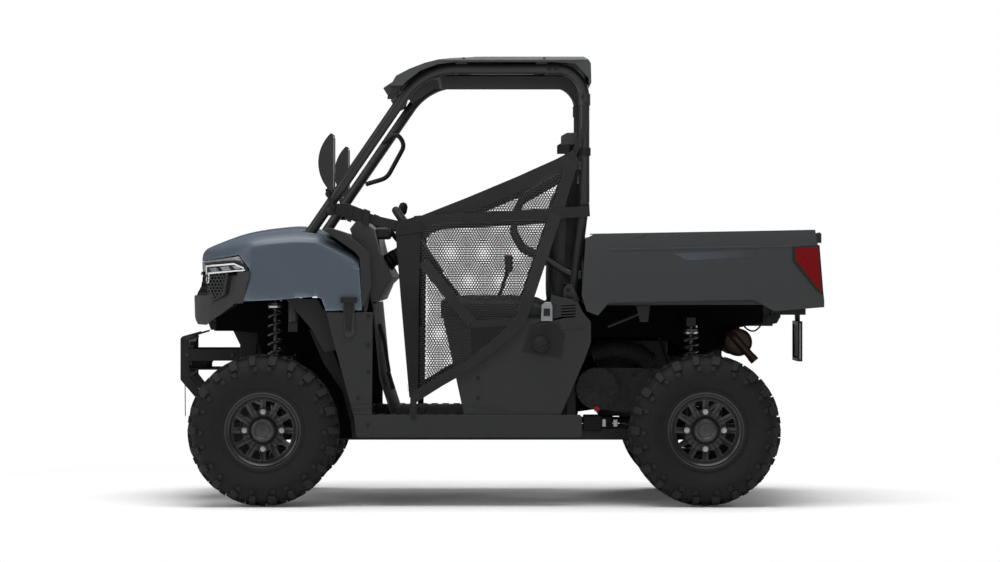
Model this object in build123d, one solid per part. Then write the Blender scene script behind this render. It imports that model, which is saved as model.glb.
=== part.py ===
"""Side by side utility vehicle with a two-person bench, a roll cage, side nets and a tipping cargo box.

Millimetres. The front points along -X, the driver's side is -Y and +Z is up. The origin lies on the
ground under the middle of the vehicle's box. Every function returns one node of the assembly.
"""

from build123d import *
from math import cos, radians, sin
import os

# ---------------------------------------------------------------- driving dimensions
LENGTH = 2742.0
WHEELBASE = 1854.0
FRONT_AXLE_X = -980.0
TYRE_OD = 640.0
TRACK_OUTER = 1473.0  # over the tyres
FRONT_TYRE_WIDTH = 210.0
REAR_TYRE_WIDTH = 254.0
BEAD_R = 152.4  # 12 inch rim
RIM_FLANGE_R = 167.5
FRONT_RIM_WIDTH = 165.0
REAR_RIM_WIDTH = 203.0
RIM_WALL = 5.0
WHEEL_WINDOWS = 12
LUG_PITCHES = 20  # tread blocks in one row round the tyre
LUG_DEPTH = 14.0
LUG_WIDTH = 46.0
LUG_COUNT = 4
LUG_CIRCLE = 156.0
HUB_R = 40.0
SPINDLE_R = 20.0
PIN_GAP = 0.5  # radial play of a shaft in its bore
CLEARANCE = 5.0  # least gap between pieces that move past each other

RAIL_Y = 230.0  # centre of the main rails
RAIL_WIDTH = 50.0
RAIL_BOTTOM = 262.0
RAIL_HEIGHT = 50.0
RAIL_FRONT_X = -1150.0
UPPER_RAIL_TOP = 792.0
UPPER_RAIL_HEIGHT = 40.0
FRONT_DECK_TOP = 771.0
FRONT_DECK_X = -1219.0
BUMPER_Y = 226.0
BUMPER_BAR = 30.0

BODY_HALF = 690.0  # half width over the hood, sills and cargo box
FLOOR_TOP = 385.0
FLOOR_WALL = 6.0
SILL_BOTTOM = 291.0
SILL_WIDTH = 50.0
PANEL_WALL = 6.0
SKIN = 5.0

CAGE_TUBE_R = 22.25
CAGE_HALF = 547.0
CAGE_TOP = 1842.0
A_PILLAR_TOP_X = -313.0
B_PILLAR_X = 369.0
PILLAR_KNEE_Z = 1284.0

SEAT_HALF = BODY_HALF - 50.0
SEAT_BACK_HALF = CAGE_HALF - 22.0
SEAT_DECK = 789.0
CUSHION_TOP = SEAT_DECK + 98.0
CUSHION_FRONT_X = -241.0
SEAT_FRONT_X = -138.0
BACK_TOP = SEAT_DECK + 551.0
BACK_FRONT_X = 226.0
BACK_THICK = 72.0

WHEEL_HUB_X = -341.0  # steering wheel
WHEEL_HUB_Y = -300.0
WHEEL_HUB_Z = 1118.0
WHEEL_RIM_R = 161.0
WHEEL_GRIP_R = 17.0
COLUMN_TILT = 35.4  # degrees above the horizontal

KINGPIN_Y = 530.0
STEER_ARM = 110.0

BOX_PIVOT_X = 1200.0
BOX_PIVOT_Z = 796.0
BOX_FLOOR_TOP = 872.0
BOX_WALL = 45.0
BOX_FLOOR_THICK = 26.0
BOX_PIN_R = 8.0
BOX_LEDGE = 1098.0
GATE_HINGE_Z = 876.0
GATE_PIN_R = 5.0
HOOD_HINGE_X = -1262.0
HOOD_HINGE_Z = 790.0
HINGE_PIN_R = 6.0
HITCH_SOCKET = 50.8
HITCH_PIN_R = 8.2
FASCIA_WALL = 8.0
ROOF_WALL = 6.0
ROOF_HALF = 600.0
NET_THICK = 4.0
MIRROR_WIDTH = 170.0
MIRROR_OUTER = 810.0
FILLER_R = 36.0
FILLER_Z = SEAT_DECK - 109.0
VENT_ROWS = 5
GRILLE_WALL = 6.0
HONEYCOMB_PITCH = 28.0
HONEYCOMB_STRAND = 5.0

# ---------------------------------------------------------------- derived places
FRONT_X = -LENGTH / 2
WINCH_X = FRONT_X + 81
FAIRLEAD_THICK = 14.0
REAR_X = LENGTH / 2
GATE_HINGE_X = REAR_X - 9
AXLE_Z = TYRE_OD / 2
REAR_AXLE_X = FRONT_AXLE_X + WHEELBASE
ENGINE_X = REAR_AXLE_X - 434
RAIL_REAR_X = REAR_AXLE_X + 276
FRONT_WHEEL_Y = (TRACK_OUTER - FRONT_TYRE_WIDTH) / 2
REAR_WHEEL_Y = (TRACK_OUTER - REAR_TYRE_WIDTH) / 2
RAIL_INNER = RAIL_Y - RAIL_WIDTH / 2
RAIL_OUTER = RAIL_Y + RAIL_WIDTH / 2
RAIL_TOP = RAIL_BOTTOM + RAIL_HEIGHT
UPPER_RAIL_BOTTOM = UPPER_RAIL_TOP - UPPER_RAIL_HEIGHT
FRONT_DECK_BOTTOM = FRONT_DECK_TOP - UPPER_RAIL_HEIGHT
SILL_INNER = BODY_HALF - SILL_WIDTH
SIDES = (-1, 1)


# ---------------------------------------------------------------- shape helpers
def bar(xs, ys, zs):
    """Rectangular bar between two corners."""
    centre = [(a + b) / 2 for a, b in (xs, ys, zs)]
    size = [abs(b - a) for a, b in (xs, ys, zs)]
    return Pos(*centre) * Box(*size)


def side_plate(outline, y_from, y_to):
    """Outline of (x, z) points extruded across the vehicle."""
    face = make_face(Polyline(*[(x, y_from, z) for x, z in outline], close=True))
    return extrude(face, amount=y_to - y_from, dir=(0, 1, 0))


def plan_plate(outline, z_from, z_to):
    """Outline of (x, y) points extruded upwards."""
    face = make_face(Polyline(*[(x, y, z_from) for x, y in outline], close=True))
    return extrude(face, amount=z_to - z_from, dir=(0, 0, 1))


def cross_plate(outline, x_from, x_to):
    """Outline of (y, z) points extruded along the vehicle."""
    face = make_face(Polyline(*[(x_from, y, z) for y, z in outline], close=True))
    return extrude(face, amount=x_to - x_from, dir=(1, 0, 0))


def rod(start, end, radius):
    """Straight round bar."""
    path = Line(start, end)
    return sweep(Plane(origin=start, z_dir=path % 0) * Circle(radius), path=path)


def bent_tube(points, radius, bends):
    """Round tube along straight runs joined by arcs, one bend radius for each inner point."""
    path = FilletPolyline(*points, radius=bends)
    return sweep(Plane(origin=path @ 0, z_dir=path % 0) * Circle(radius), path=path)


def drum(x, z, radius, y_from, y_to):
    """Cylinder lying across the vehicle."""
    return Pos(x, (y_from + y_to) / 2, z) * Rot(90, 0, 0) * Cylinder(radius, abs(y_to - y_from))


def spun(profile, x, y, z, outward):
    """Profile of (radius, offset) points turned about an axle; offset grows away from the vehicle."""
    face = make_face(Polyline(*[(r, 0, d) for r, d in profile], close=True))
    turned = revolve(face, Axis.Z, 360)
    return Pos(x, y, z) * Rot(-90 * outward, 0, 0) * turned


def both(shape):
    """The shape and its mirror image across the vehicle's middle plane."""
    return [shape, mirror(shape, about=Plane.XZ)]


def group(shapes):
    """Separate solids of one node."""
    solids = [solid for shape in shapes for solid in shape.solids()]
    return Compound(solids)


# ---------------------------------------------------------------- wheels
def wheel_place(axle, side):
    """Centre of a wheel, with its tyre width and rim width."""
    if axle == "front":
        return FRONT_AXLE_X, side * FRONT_WHEEL_Y, FRONT_TYRE_WIDTH, FRONT_RIM_WIDTH
    return REAR_AXLE_X, side * REAR_WHEEL_Y, REAR_TYRE_WIDTH, REAR_RIM_WIDTH


def ring_of(radius, y):
    """Regular polygon about the axle, its flats at the given radius, in a plane across the axle."""
    facets = 2 * LUG_PITCHES
    corner = radius / cos(radians(180 / facets))
    seat = Plane(origin=(0, y, 0), z_dir=(0, 1, 0), x_dir=(1, 0, 0))
    return seat * RegularPolygon(corner, facets, rotation=180 / facets)


def tyre(axle, side):
    """Faceted carcass with two staggered rows of tread blocks that wrap over its shoulders."""
    x, y, width, rim_width = wheel_place(axle, side)
    half = width / 2
    seat = rim_width / 2 - 6
    crown = TYRE_OD / 2
    carcass = crown - LUG_DEPTH
    # distance from the middle plane and radius of each section
    right = ((half - 44, carcass), (half - 14, crown - 38), (half, crown - 84))
    sections = [(-w, r) for w, r in reversed(right)] + list(right)
    body = loft([ring_of(r, w) for w, r in sections], ruled=True)
    blocks = []
    for row in SIDES:
        hollow = loft([ring_of(crown - 84, row * half), ring_of(RIM_FLANGE_R + 1, row * seat)], ruled=True)
        body -= hollow
        outline = [
            (6, carcass - 4),
            (6, crown),
            (half - 38, crown),
            (half - 10, crown - 17),
            (half - 1, crown - 48),
            (half - 12, crown - 54),
            (half - 60, crown - 30),
        ]
        block = cross_plate([(row * w, r) for w, r in outline], -LUG_WIDTH / 2, LUG_WIDTH / 2)
        pitch = 360 / LUG_PITCHES
        stagger = 0 if row > 0 else pitch / 2
        blocks += [Rot(0, pitch * k + stagger, 0) * block for k in range(LUG_PITCHES)]
    body -= drum(0, 0, BEAD_R, -half, half)
    return Pos(x, y, AXLE_Z) * (body + blocks)


def rim(axle, side):
    """Barrel with two flanges and a pierced disc, four stud bosses and a hub cap."""
    x, y, width, rim_width = wheel_place(axle, side)
    half = rim_width / 2
    barrel_r = BEAD_R - RIM_WALL
    disc = half - 32
    bore = SPINDLE_R + PIN_GAP
    profile = [
        (bore, disc - 16),
        (barrel_r - 6, disc - 10),
        (barrel_r - 6, -half + 12),
        (RIM_FLANGE_R, -half),
        (RIM_FLANGE_R, -half + 6),
        (BEAD_R, -half + 6),
        (BEAD_R, half - 6),
        (RIM_FLANGE_R, half - 6),
        (RIM_FLANGE_R, half),
        (barrel_r - 6, half - 12),
        (barrel_r - 14, disc + 4),
        (HUB_R + 8, disc - 6),
        (HUB_R, disc + 18),
        (bore, disc + 18),
    ]
    wheel = spun(profile, 0, 0, 0, side)
    inner, outer = LUG_CIRCLE / 2 + 9, barrel_r - 22
    opening = [(-10, inner), (10, inner), (20, outer), (-20, outer)]
    window = side_plate(opening, side * (disc - 30), side * (disc + 20))
    step = 360 / WHEEL_WINDOWS
    wheel -= [Rot(0, step * (k + 0.5), 0) * window for k in range(WHEEL_WINDOWS)]
    boss = drum(0, LUG_CIRCLE / 2, 9, side * (disc - 12), side * (disc + 10))
    wheel += [Rot(0, 360 / LUG_COUNT * k, 0) * boss for k in range(LUG_COUNT)]
    return Pos(x, y, AXLE_Z) * wheel


def knuckle(side):
    """Front upright with its spindle and steering arm."""
    x = FRONT_AXLE_X
    inner = side * (KINGPIN_Y - 15)
    outer = side * (KINGPIN_Y + 15)
    block = bar((x - 22, x + 22), (inner, outer), (AXLE_Z - 84, AXLE_Z + 84))
    boss = drum(x, AXLE_Z, 48, inner, side * (KINGPIN_Y + 30))
    spindle_end = side * (FRONT_WHEEL_Y + FRONT_RIM_WIDTH / 2 - 18)
    spindle = drum(x, AXLE_Z, SPINDLE_R, outer, spindle_end)
    arm = bar((x + 10, x + STEER_ARM), (side * (KINGPIN_Y - 22), side * (KINGPIN_Y - 6)), (335, 351))
    eye = Pos(x + STEER_ARM, side * (KINGPIN_Y - 14), 343) * Cylinder(15, 16)
    return block + boss + spindle + arm + eye


def rear_carriers():
    x = REAR_AXLE_X
    block = bar((x - 24, x + 24), (452, 482), (AXLE_Z - 92, AXLE_Z + 92))
    boss = drum(x, AXLE_Z, 50, 452, 500)
    spindle = drum(x, AXLE_Z, SPINDLE_R, 480, REAR_WHEEL_Y + REAR_RIM_WIDTH / 2 - 18)
    return group(both(block + boss + spindle))


# ---------------------------------------------------------------- frame
def lower_rails():
    rail = bar((RAIL_FRONT_X, RAIL_REAR_X), (RAIL_INNER, RAIL_OUTER), (RAIL_BOTTOM, RAIL_TOP))
    return group(both(rail))


def upper_rails():
    front = bar((FRONT_DECK_X, -560), (RAIL_INNER, RAIL_OUTER), (FRONT_DECK_BOTTOM, FRONT_DECK_TOP))
    rear = bar((300, BOX_PIVOT_X - 12), (RAIL_INNER, RAIL_OUTER), (UPPER_RAIL_BOTTOM, UPPER_RAIL_TOP))
    return group(both(front) + both(rear))


def uprights():
    # columns: front edge, rear edge, top
    columns = (
        (-1107, -1036, FRONT_DECK_BOTTOM),
        (-925, -895, 455),
        (-600, -560, FRONT_DECK_BOTTOM),
        (300, 340, UPPER_RAIL_BOTTOM),
        (940, 968, UPPER_RAIL_BOTTOM),
    )
    posts = []
    for front, rear, top in columns:
        posts += both(bar((front, rear), (RAIL_INNER, RAIL_OUTER), (RAIL_TOP, top)))
    return group(posts)


def crossmembers():
    pieces = []
    # middle of each lower crossmember
    for x in (-1125, -1058, -902, -580, 320, 640, RAIL_REAR_X - 30):
        pieces.append(bar((x - 20, x + 20), (-RAIL_INNER, RAIL_INNER), (RAIL_BOTTOM + 8, RAIL_TOP)))
    # upper crossmembers: middle, bottom, reach of the outer stubs
    upper = (
        (-860, FRONT_DECK_BOTTOM, 585),
        (-1199, FRONT_DECK_BOTTOM, 0),
        (320, UPPER_RAIL_BOTTOM, 640),
        (826, UPPER_RAIL_BOTTOM, 450),
    )
    for x, bottom, reach in upper:
        top = bottom + UPPER_RAIL_HEIGHT
        pieces.append(bar((x - 20, x + 20), (-RAIL_INNER, RAIL_INNER), (bottom, top)))
        if reach:
            pieces += both(bar((x - 20, x + 20), (RAIL_OUTER, reach), (bottom, top)))
    return group(pieces)


def floor_bearers():
    channel = prop_shaft_line(30)
    bearers = []
    for x in (-430, -60):
        beam = bar((x - 20, x + 20), (-SILL_INNER, SILL_INNER), (RAIL_TOP, FLOOR_TOP - FLOOR_WALL))
        bearers.append(beam - channel)
    return group(bearers)


def hinge_brackets():
    """Fixed ears of the hood hinge at the front deck and of the box pivot on the rear rails."""
    ear = side_plate(
        [(FRONT_DECK_X, 735), (FRONT_DECK_X, 771), (-1250, 802), (-1272, 802), (-1272, 783), (-1248, 772),
         (-1235, 735)],
        RAIL_Y - 12,
        RAIL_Y - 4,
    )
    pin = drum(HOOD_HINGE_X, HOOD_HINGE_Z, HINGE_PIN_R, RAIL_Y - 4, RAIL_Y + 16)
    lug = side_plate(
        [(1160, 756), (1160, 790), (1185, 808), (1215, 808), (1220, 790), (1205, 764)],
        RAIL_OUTER,
        RAIL_OUTER + 8,
    )
    box_pin = drum(BOX_PIVOT_X, BOX_PIVOT_Z, BOX_PIN_R, RAIL_OUTER + 8, RAIL_OUTER + 30)
    return group(both(ear + pin) + both(lug + box_pin))


def shock_towers():
    post = bar((-982, -902), (RAIL_OUTER, RAIL_OUTER + 12), (FRONT_DECK_BOTTOM, 878))
    arm = bar((-982, -902), (RAIL_OUTER, 482), (866, 878))
    return group(both(post + arm))


# ---------------------------------------------------------------- floor and side panels
def floor_pan():
    toe = [
        (-443, FLOOR_TOP - FLOOR_WALL),
        (-40, FLOOR_TOP - FLOOR_WALL),
        (-40, FLOOR_TOP),
        (-440, FLOOR_TOP),
        (-488, 536),
        (-519, 854),
        (-525, 854),
        (-494, 536),
    ]
    pan = side_plate(toe, -SILL_INNER, SILL_INNER)
    sill = [
        (-590, SILL_BOTTOM + 8),
        (-582, SILL_BOTTOM),
        (346, SILL_BOTTOM),
        (356, SILL_BOTTOM + 10),
        (356, FLOOR_TOP - 8),
        (348, FLOOR_TOP),
        (-600, FLOOR_TOP),
    ]
    for shape in both(side_plate(sill, SILL_INNER, BODY_HALF)):
        pan += shape
    return pan


def front_side_panels():
    top = 815
    outline = [(-714, top), (-697, 741), (-602, FLOOR_TOP), (-523, FLOOR_TOP), (-519, top)]
    skin = side_plate(outline, BODY_HALF - 18, BODY_HALF - 2)
    inner_return = side_plate(
        [(-714, top), (-697, 741), (-602, FLOOR_TOP), (-590, FLOOR_TOP), (-685, 741), (-702, top)],
        BODY_HALF - 60,
        BODY_HALF - 2,
    )
    return group(both(skin + inner_return))


def seat_box():
    outline = [
        (SEAT_FRONT_X, FLOOR_TOP),
        (-225, SEAT_DECK),
        (200, SEAT_DECK),
        (231, CUSHION_TOP),
        (338, CUSHION_TOP - 25),
        (360, SEAT_DECK + 26),
        (394, SEAT_DECK - 15),
        (394, SEAT_DECK - 99),
        (369, SEAT_DECK - 170),
        (268, FLOOR_TOP),
    ]
    outer = side_plate(outline, -BODY_HALF + 10, BODY_HALF - 10)
    inner = [
        (SEAT_FRONT_X + PANEL_WALL, FLOOR_TOP - 1),
        (-225 + PANEL_WALL, SEAT_DECK - PANEL_WALL),
        (500, SEAT_DECK - PANEL_WALL),
        (500, FLOOR_TOP - 1),
    ]
    hollow = side_plate(inner, -BODY_HALF + 18, BODY_HALF - 18)
    above = bar((-260, 500), (-SEAT_HALF - 8, SEAT_HALF + 8), (SEAT_DECK, 1000))
    behind = bar((288, 500), (-SEAT_HALF - 8, SEAT_HALF + 8), (FLOOR_TOP - 1, 1000))
    box = outer - hollow - above - behind
    recess = [(139, FILLER_Z + 81), (252, FILLER_Z + 94), (290, FILLER_Z + 43), (273, FILLER_Z - 62),
              (103, FILLER_Z - 32)]
    vents = []
    for row in range(VENT_ROWS):
        z = SEAT_DECK + 1 + 12 * row
        vents += both(side_plate([(269, z), (330, z + 4), (330, z + 9), (269, z + 5)], 0, BODY_HALF))
    for side in SIDES:
        box -= side_plate(recess, side * (BODY_HALF - 13), side * BODY_HALF)
        box += drum(184, FILLER_Z, FILLER_R, side * (BODY_HALF - 14), side * (BODY_HALF - 11))
    return box - vents


# ---------------------------------------------------------------- seats and cab
def seat_cushion():
    block = bar((CUSHION_FRONT_X, 205), (-SEAT_HALF, SEAT_HALF), (SEAT_DECK, CUSHION_TOP))
    return fillet(block.edges().group_by(Axis.Z)[-1], 22)


def seat_back():
    lean = 14
    outline = [
        (BACK_FRONT_X - lean, CUSHION_TOP - 60),
        (BACK_FRONT_X + 4, BACK_TOP),
        (BACK_FRONT_X + 4 + BACK_THICK, BACK_TOP),
        (BACK_FRONT_X - lean + BACK_THICK, CUSHION_TOP - 60),
    ]
    block = side_plate(outline, -SEAT_BACK_HALF, SEAT_BACK_HALF)
    return fillet(block.edges().group_by(Axis.Z)[-1], 20)


def cage_front_tubes():
    points = [
        (-860, CAGE_HALF, FRONT_DECK_TOP),
        (-860, CAGE_HALF, 1046),
        (A_PILLAR_TOP_X, CAGE_HALF, CAGE_TOP),
        (240, CAGE_HALF, CAGE_TOP),
    ]
    return group(both(bent_tube(points, CAGE_TUBE_R, [60, 262])))


def cage_rear_tubes():
    points = [
        (240, CAGE_HALF, CAGE_TOP),
        (B_PILLAR_X, CAGE_HALF, CAGE_TOP),
        (B_PILLAR_X, CAGE_HALF, PILLAR_KNEE_Z),
        (317, CAGE_HALF, 866),
        (317, CAGE_HALF, UPPER_RAIL_TOP),
    ]
    return group(both(bent_tube(points, CAGE_TUBE_R, [118, 60, 60])))


def cage_cross_tubes():
    side_tubes = cage_front_tubes() + cage_rear_tubes()
    bars = []
    # x, z of each tube between the side frames
    for x, z in ((-200, CAGE_TOP), (190, CAGE_TOP), (B_PILLAR_X, 1400), (B_PILLAR_X - 9, 1210), (326, 930)):
        tube = rod((x, -CAGE_HALF, z), (x, CAGE_HALF, z), 16)
        if z < 1300:
            for y in (-260, 260):
                tube += bar((255, x), (y - 15, y + 15), (z - 10, z + 10))
            tube -= seat_back()
            tube = max(tube.solids(), key=lambda piece: piece.volume)
        bars.append(tube - side_tubes)
    return group(bars)


def roof():
    top = [
        (-450, 1768),
        (-425, 1811),
        (-370, 1840),
        (-303, 1866),
        (-200, 1891),
        (0, 1911),
        (330, 1915),
        (372, 1905),
        (396, 1862),
        (398, 1780),
    ]
    under = [
        (-460, 1700),
        (-446, 1768),
        (-421, 1806),
        (-367, 1834),
        (-300, 1860),
        (-198, 1885),
        (0, 1905),
        (327, 1909),
        (367, 1900),
        (390, 1860),
        (392, 1700),
    ]
    over_tubes = [
        (-500, 1600),
        (-417, 1743),
        (-384, 1785),
        (-322, 1832),
        (-250, 1859),
        (-175, 1868),
        (240, 1868),
        (330, 1862),
        (386, 1800),
        (386, 1600),
    ]
    half = ROOF_HALF
    crown = [(0, 1915), (380, 1905), (half, 1880), (half, 1700)]
    crown = [(-y, z) for y, z in reversed(crown[1:])] + crown
    half = ROOF_HALF - ROOF_WALL
    ceiling = [(0, 1909), (379, 1899), (half, 1876), (half, 1600)]
    ceiling = [(-y, z) for y, z in reversed(ceiling[1:])] + ceiling
    outer = side_plate(top, -ROOF_HALF, ROOF_HALF) & cross_plate(crown, -460, 420)
    inner = side_plate(under, -half, half) & cross_plate(ceiling, -460, 420)
    shell = outer - inner - side_plate(over_tubes, -BODY_HALF, BODY_HALF)
    for x in (-150, 190):
        pad = bar((x - 25, x + 25), (CAGE_HALF - 12, CAGE_HALF + 12), (CAGE_TOP + 20, 1890))
        for rib in both(pad):
            shell += rib & outer
    return shell - cage_front_tubes() - cage_rear_tubes()


def restraint_bars():
    y = CAGE_HALF
    points = [
        (B_PILLAR_X - 6, y, 1440),
        (287, y, 1405),
        (110, y, 1306),
        (82, y, 1240),
        (70, y, 1160),
        (110, y, 1090),
        (190, y, 1050),
        (287, y, 988),
        (335, y, 965),
    ]
    bent = bent_tube(points, 14, [40, 60, 60, 60, 60, 60, 40])
    cut = cage_rear_tubes()
    pieces = [shape - cut for shape in both(bent)]
    return group([max(shape.solids(), key=lambda s: s.volume) for shape in pieces])


# ---------------------------------------------------------------- dash, cowl and controls
def dash_outline():
    return [
        (-619, 1165),
        (-591, 1200),
        (-568, 1205),
        (-517, 1158),
        (-497, 1073),
        (-462, 1001),
        (-441, 963),
        (-470, 933),
        (-499, 865),
        (-530, 854),
        (-548, 1000),
        (-600, 1110),
    ]


def dashboard():
    body = side_plate(dash_outline(), -610, 610)
    return body - steering_column_bore()


def column_point(distance):
    """Point on the steering axis, at a distance back from the wheel's hub towards the dash."""
    return (
        WHEEL_HUB_X - distance * cos(radians(COLUMN_TILT)),
        WHEEL_HUB_Y,
        WHEEL_HUB_Z - distance * sin(radians(COLUMN_TILT)),
    )


def steering_column_bore():
    return rod(column_point(100), column_point(230), 30)


def steering_column():
    housing = rod(column_point(45), column_point(228), 30)
    bore = rod(column_point(40), column_point(150), 11 + PIN_GAP)
    return housing - bore


def steering_wheel():
    axis_dir = (cos(radians(COLUMN_TILT)), 0, sin(radians(COLUMN_TILT)))
    seat = Plane(origin=column_point(0), z_dir=axis_dir, x_dir=(0, 1, 0))
    ring = seat * Torus(WHEEL_RIM_R, WHEEL_GRIP_R)
    hub = seat * Pos(0, 0, -12) * Cylinder(42, 26)
    shaft = seat * Pos(0, 0, -77) * Cylinder(11, 110)
    wheel = ring + hub + shaft
    for angle in (0, 180, 270):
        wheel += seat * Rot(0, 0, angle) * Pos(WHEEL_RIM_R / 2, 0, -6) * Box(WHEEL_RIM_R, 34, 9)
    return wheel


def cowl():
    """Trim behind the hood: a panel over the full width that turns down at both sides."""
    outer = [
        (-722, 1162),
        (-703, 1171),
        (-648, 1154),
        (-547, 1074),
        (-534, 1051),
        (-526, 925),
        (-545, 815),
        (-557, 815),
        (-571, 1040),
        (-588, 1067),
        (-718, 1156),
    ]
    half = BODY_HALF - SKIN - CLEARANCE
    crown = ((half, 800), (half, 1085), (half - 40, 1130), (480, 1165), (0, 1185))
    section = list(crown) + [(-y, z) for y, z in reversed(crown[:-1])]
    band = side_plate(outer, -half, half) & cross_plate(section, -800, -400)
    under = [
        (-900, 1040),
        (-737, 1130),
        (-702, 1158),
        (-651, 1142),
        (-555, 1066),
        (-543, 1040),
        (-480, 700),
        (-900, 700),
    ]
    inside = side_plate(under, -half + 12, half - 12)
    dash = side_plate(dash_outline(), -610, 610)
    return band - inside - dash


def pedals():
    pieces = []
    # middle across the vehicle, half width
    for y, half in ((-330, 38), (-220, 24)):
        plate = side_plate([(-452, 480), (-440, 484), (-462, 560), (-474, 556)], y - half, y + half)
        lever = side_plate([(-468, 552), (-458, 556), (-482, 700), (-492, 698)], y - 8, y + 8)
        foot = side_plate([(-492, 690), (-480, 694), (-500, 760), (-515, 760)], y - 8, y + 8)
        pieces.append((plate + lever + foot) - floor_pan_face())
    return group(pieces)


def floor_pan_face():
    """Everything in front of the toe board's inner face."""
    return side_plate([(-440, 385), (-488, 536), (-519, 854), (-700, 854), (-700, 385)], -640, 640)


def shift_lever():
    stalk = rod((-470, -120, 985), (-395, -120, 1075), 7)
    knob = Pos(-390, -120, 1082) * Sphere(20)
    return (stalk + knob) - side_plate(dash_outline(), -610, 610)


# ---------------------------------------------------------------- front end
def nose_plan():
    """Half width of the nose at each station, front to rear."""
    return (
        (-1304, BODY_HALF - 440),
        (-1290, BODY_HALF - 360),
        (-1215, BODY_HALF - 200),
        (-1120, BODY_HALF - 100),
        (-1030, BODY_HALF - 40),
    )


def both_sides(stations):
    """Closed plan outline from stations of (x, half width)."""
    near = [(x, -y) for x, y in stations]
    return near + [(x, y) for x, y in reversed(stations)]


def form(side_outline, plan_outline, shrink):
    """Solid whose side view and plan view are both drawn, shrunk inwards by a wall."""
    side = make_face(Polyline(*[(x, 0, z) for x, z in side_outline], close=True))
    plan = make_face(Polyline(*[(x, y, 0) for x, y in plan_outline], close=True))
    if shrink:
        side = offset(side, -shrink, kind=Kind.INTERSECTION)
        plan = offset(plan, -shrink, kind=Kind.INTERSECTION)
    deep = extrude(side, amount=900, dir=(0, 1, 0), both=True)
    tall = extrude(plan, amount=2000, dir=(0, 0, 1), both=True)
    return deep & tall


def hood_side():
    return [
        (-565, 824),
        (-580, 1036),
        (-597, 1060),
        (-741, 1158),
        (-845, 1178),
        (-987, 1163),
        (-1121, 1132),
        (-1253, 1089),
        (-1264, 1060),
        (-1262, 1032),
        (-1083, 1055),
        (-1040, 1001),
        (-1037, 988),
        (-1069, 860),
        (-912, 868),
        (-760, 881),
        (-733, 871),
        (-717, 822),
    ]


def hood_inside():
    """Side view of the space under the hood's skin, open below and behind."""
    return [
        (-500, 700),
        (-500, 1152),
        (-742, 1152),
        (-845, 1172),
        (-986, 1157),
        (-1119, 1126),
        (-1248, 1084),
        (-1257, 1058),
        (-1257, 700),
    ]


# station along the vehicle, half width
HOOD_PLAN = (
    (-1264, BODY_HALF - 360),
    (-1210, BODY_HALF - 190),
    (-1120, BODY_HALF - 70),
    (-1040, BODY_HALF),
    (-480, BODY_HALF),
)


def hood_crown(drop):
    """Cross section of the hood, lowered and narrowed by a wall."""
    half = BODY_HALF - drop
    points = ((half, 760), (half, 1110), (half - 30, 1145), (480, 1163), (0, 1180))
    right = [(y, z - drop) for y, z in points]
    return right + [(-y, z) for y, z in reversed(right[:-1])]


def hood():
    outer = form(hood_side(), both_sides(HOOD_PLAN), 0) & cross_plate(hood_crown(0), -1300, -480)
    inner_plan = [(x + SKIN, y - SKIN) for x, y in HOOD_PLAN[:-1]] + [(-400, HOOD_PLAN[-1][1] - SKIN)]
    inner = form(hood_inside(), both_sides(inner_plan), 0)
    shell = outer - (inner & cross_plate(hood_crown(SKIN), -1300, -400))
    below = bar((-1300, -400), (-BODY_HALF + SKIN, BODY_HALF - SKIN), (600, 800))
    shell -= below
    slot_half = CAGE_TUBE_R + 12
    for side in SIDES:
        centre = side * CAGE_HALF
        shell -= bar((-822, -700), (centre - slot_half, centre + slot_half), (1090, 1200))
    return shell


FASCIA_SIDE = (
    (-1262, 986),
    (-1272, 929),
    (-1304, 879),
    (-1299, 791),
    (-1280, 761),
    (-1237, 759),
    (-1100, 852),
    (-1066, 960),
    (-1066, 986),
)


def fascia_form(shrink):
    return form(FASCIA_SIDE, both_sides(nose_plan()), shrink)


def grille_zone(grow):
    """Side view of the grille opening, on the nose and round its corners."""
    return side_plate(
        [
            (-1330, 970 + grow),
            (-1160 + grow, 976 + grow),
            (-1174 + grow, 905),
            (-1237, 885 - grow),
            (-1330, 885 - grow),
        ],
        -700,
        700,
    )


def front_fascia():
    shell = fascia_form(0) - fascia_form(FASCIA_WALL)
    back = side_plate([(-1078, 1000), (-1078, 955), (-1112, 852), (-1000, 700), (-1000, 1000)], -700, 700)
    top = bar((-1254, -1000), (-620, 620), (970, 1000))
    inner_plan = [(x + FASCIA_WALL, y - FASCIA_WALL) for x, y in nose_plan()]
    bottom = form([(-1284, 700), (-1284, 790), (-1000, 900), (-1000, 700)], both_sides(inner_plan), 0)
    shell = shell - back - top - bottom - grille_zone(0)
    brow = bar((-1257, -1249), (-300, 300), (981, 1050))
    leaf = [(-1293, 778), (-1293, 830), (-1275, 830), (-1250, 800), (-1250, 780)]
    tab = side_plate(leaf, RAIL_Y - 2, RAIL_Y + 6)
    for shape in both(tab):
        brow += shape
    bore = drum(HOOD_HINGE_X, HOOD_HINGE_Z, HINGE_PIN_R + PIN_GAP, -300, 300)
    return shell + brow - bore


def headlamps():
    top = [(-1264, 1029), (-1262, 986), (-1066, 986), (-1050, 1000), (-1085, 1051)]
    lamp = form(top, both_sides(((-1264, 320), (-1208, 490), (-1118, 605), (-1030, 655))), 0)
    core = form([(-1300, 1200), (-1300, 900), (-900, 900), (-900, 1200)],
                both_sides(((-1224, 250), (-1180, 440), (-1100, 545), (-1000, 600))), 0)
    middle = bar((-1300, -1000), (-300, 300), (900, 1100))
    return group([lamp - core - middle])


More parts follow.
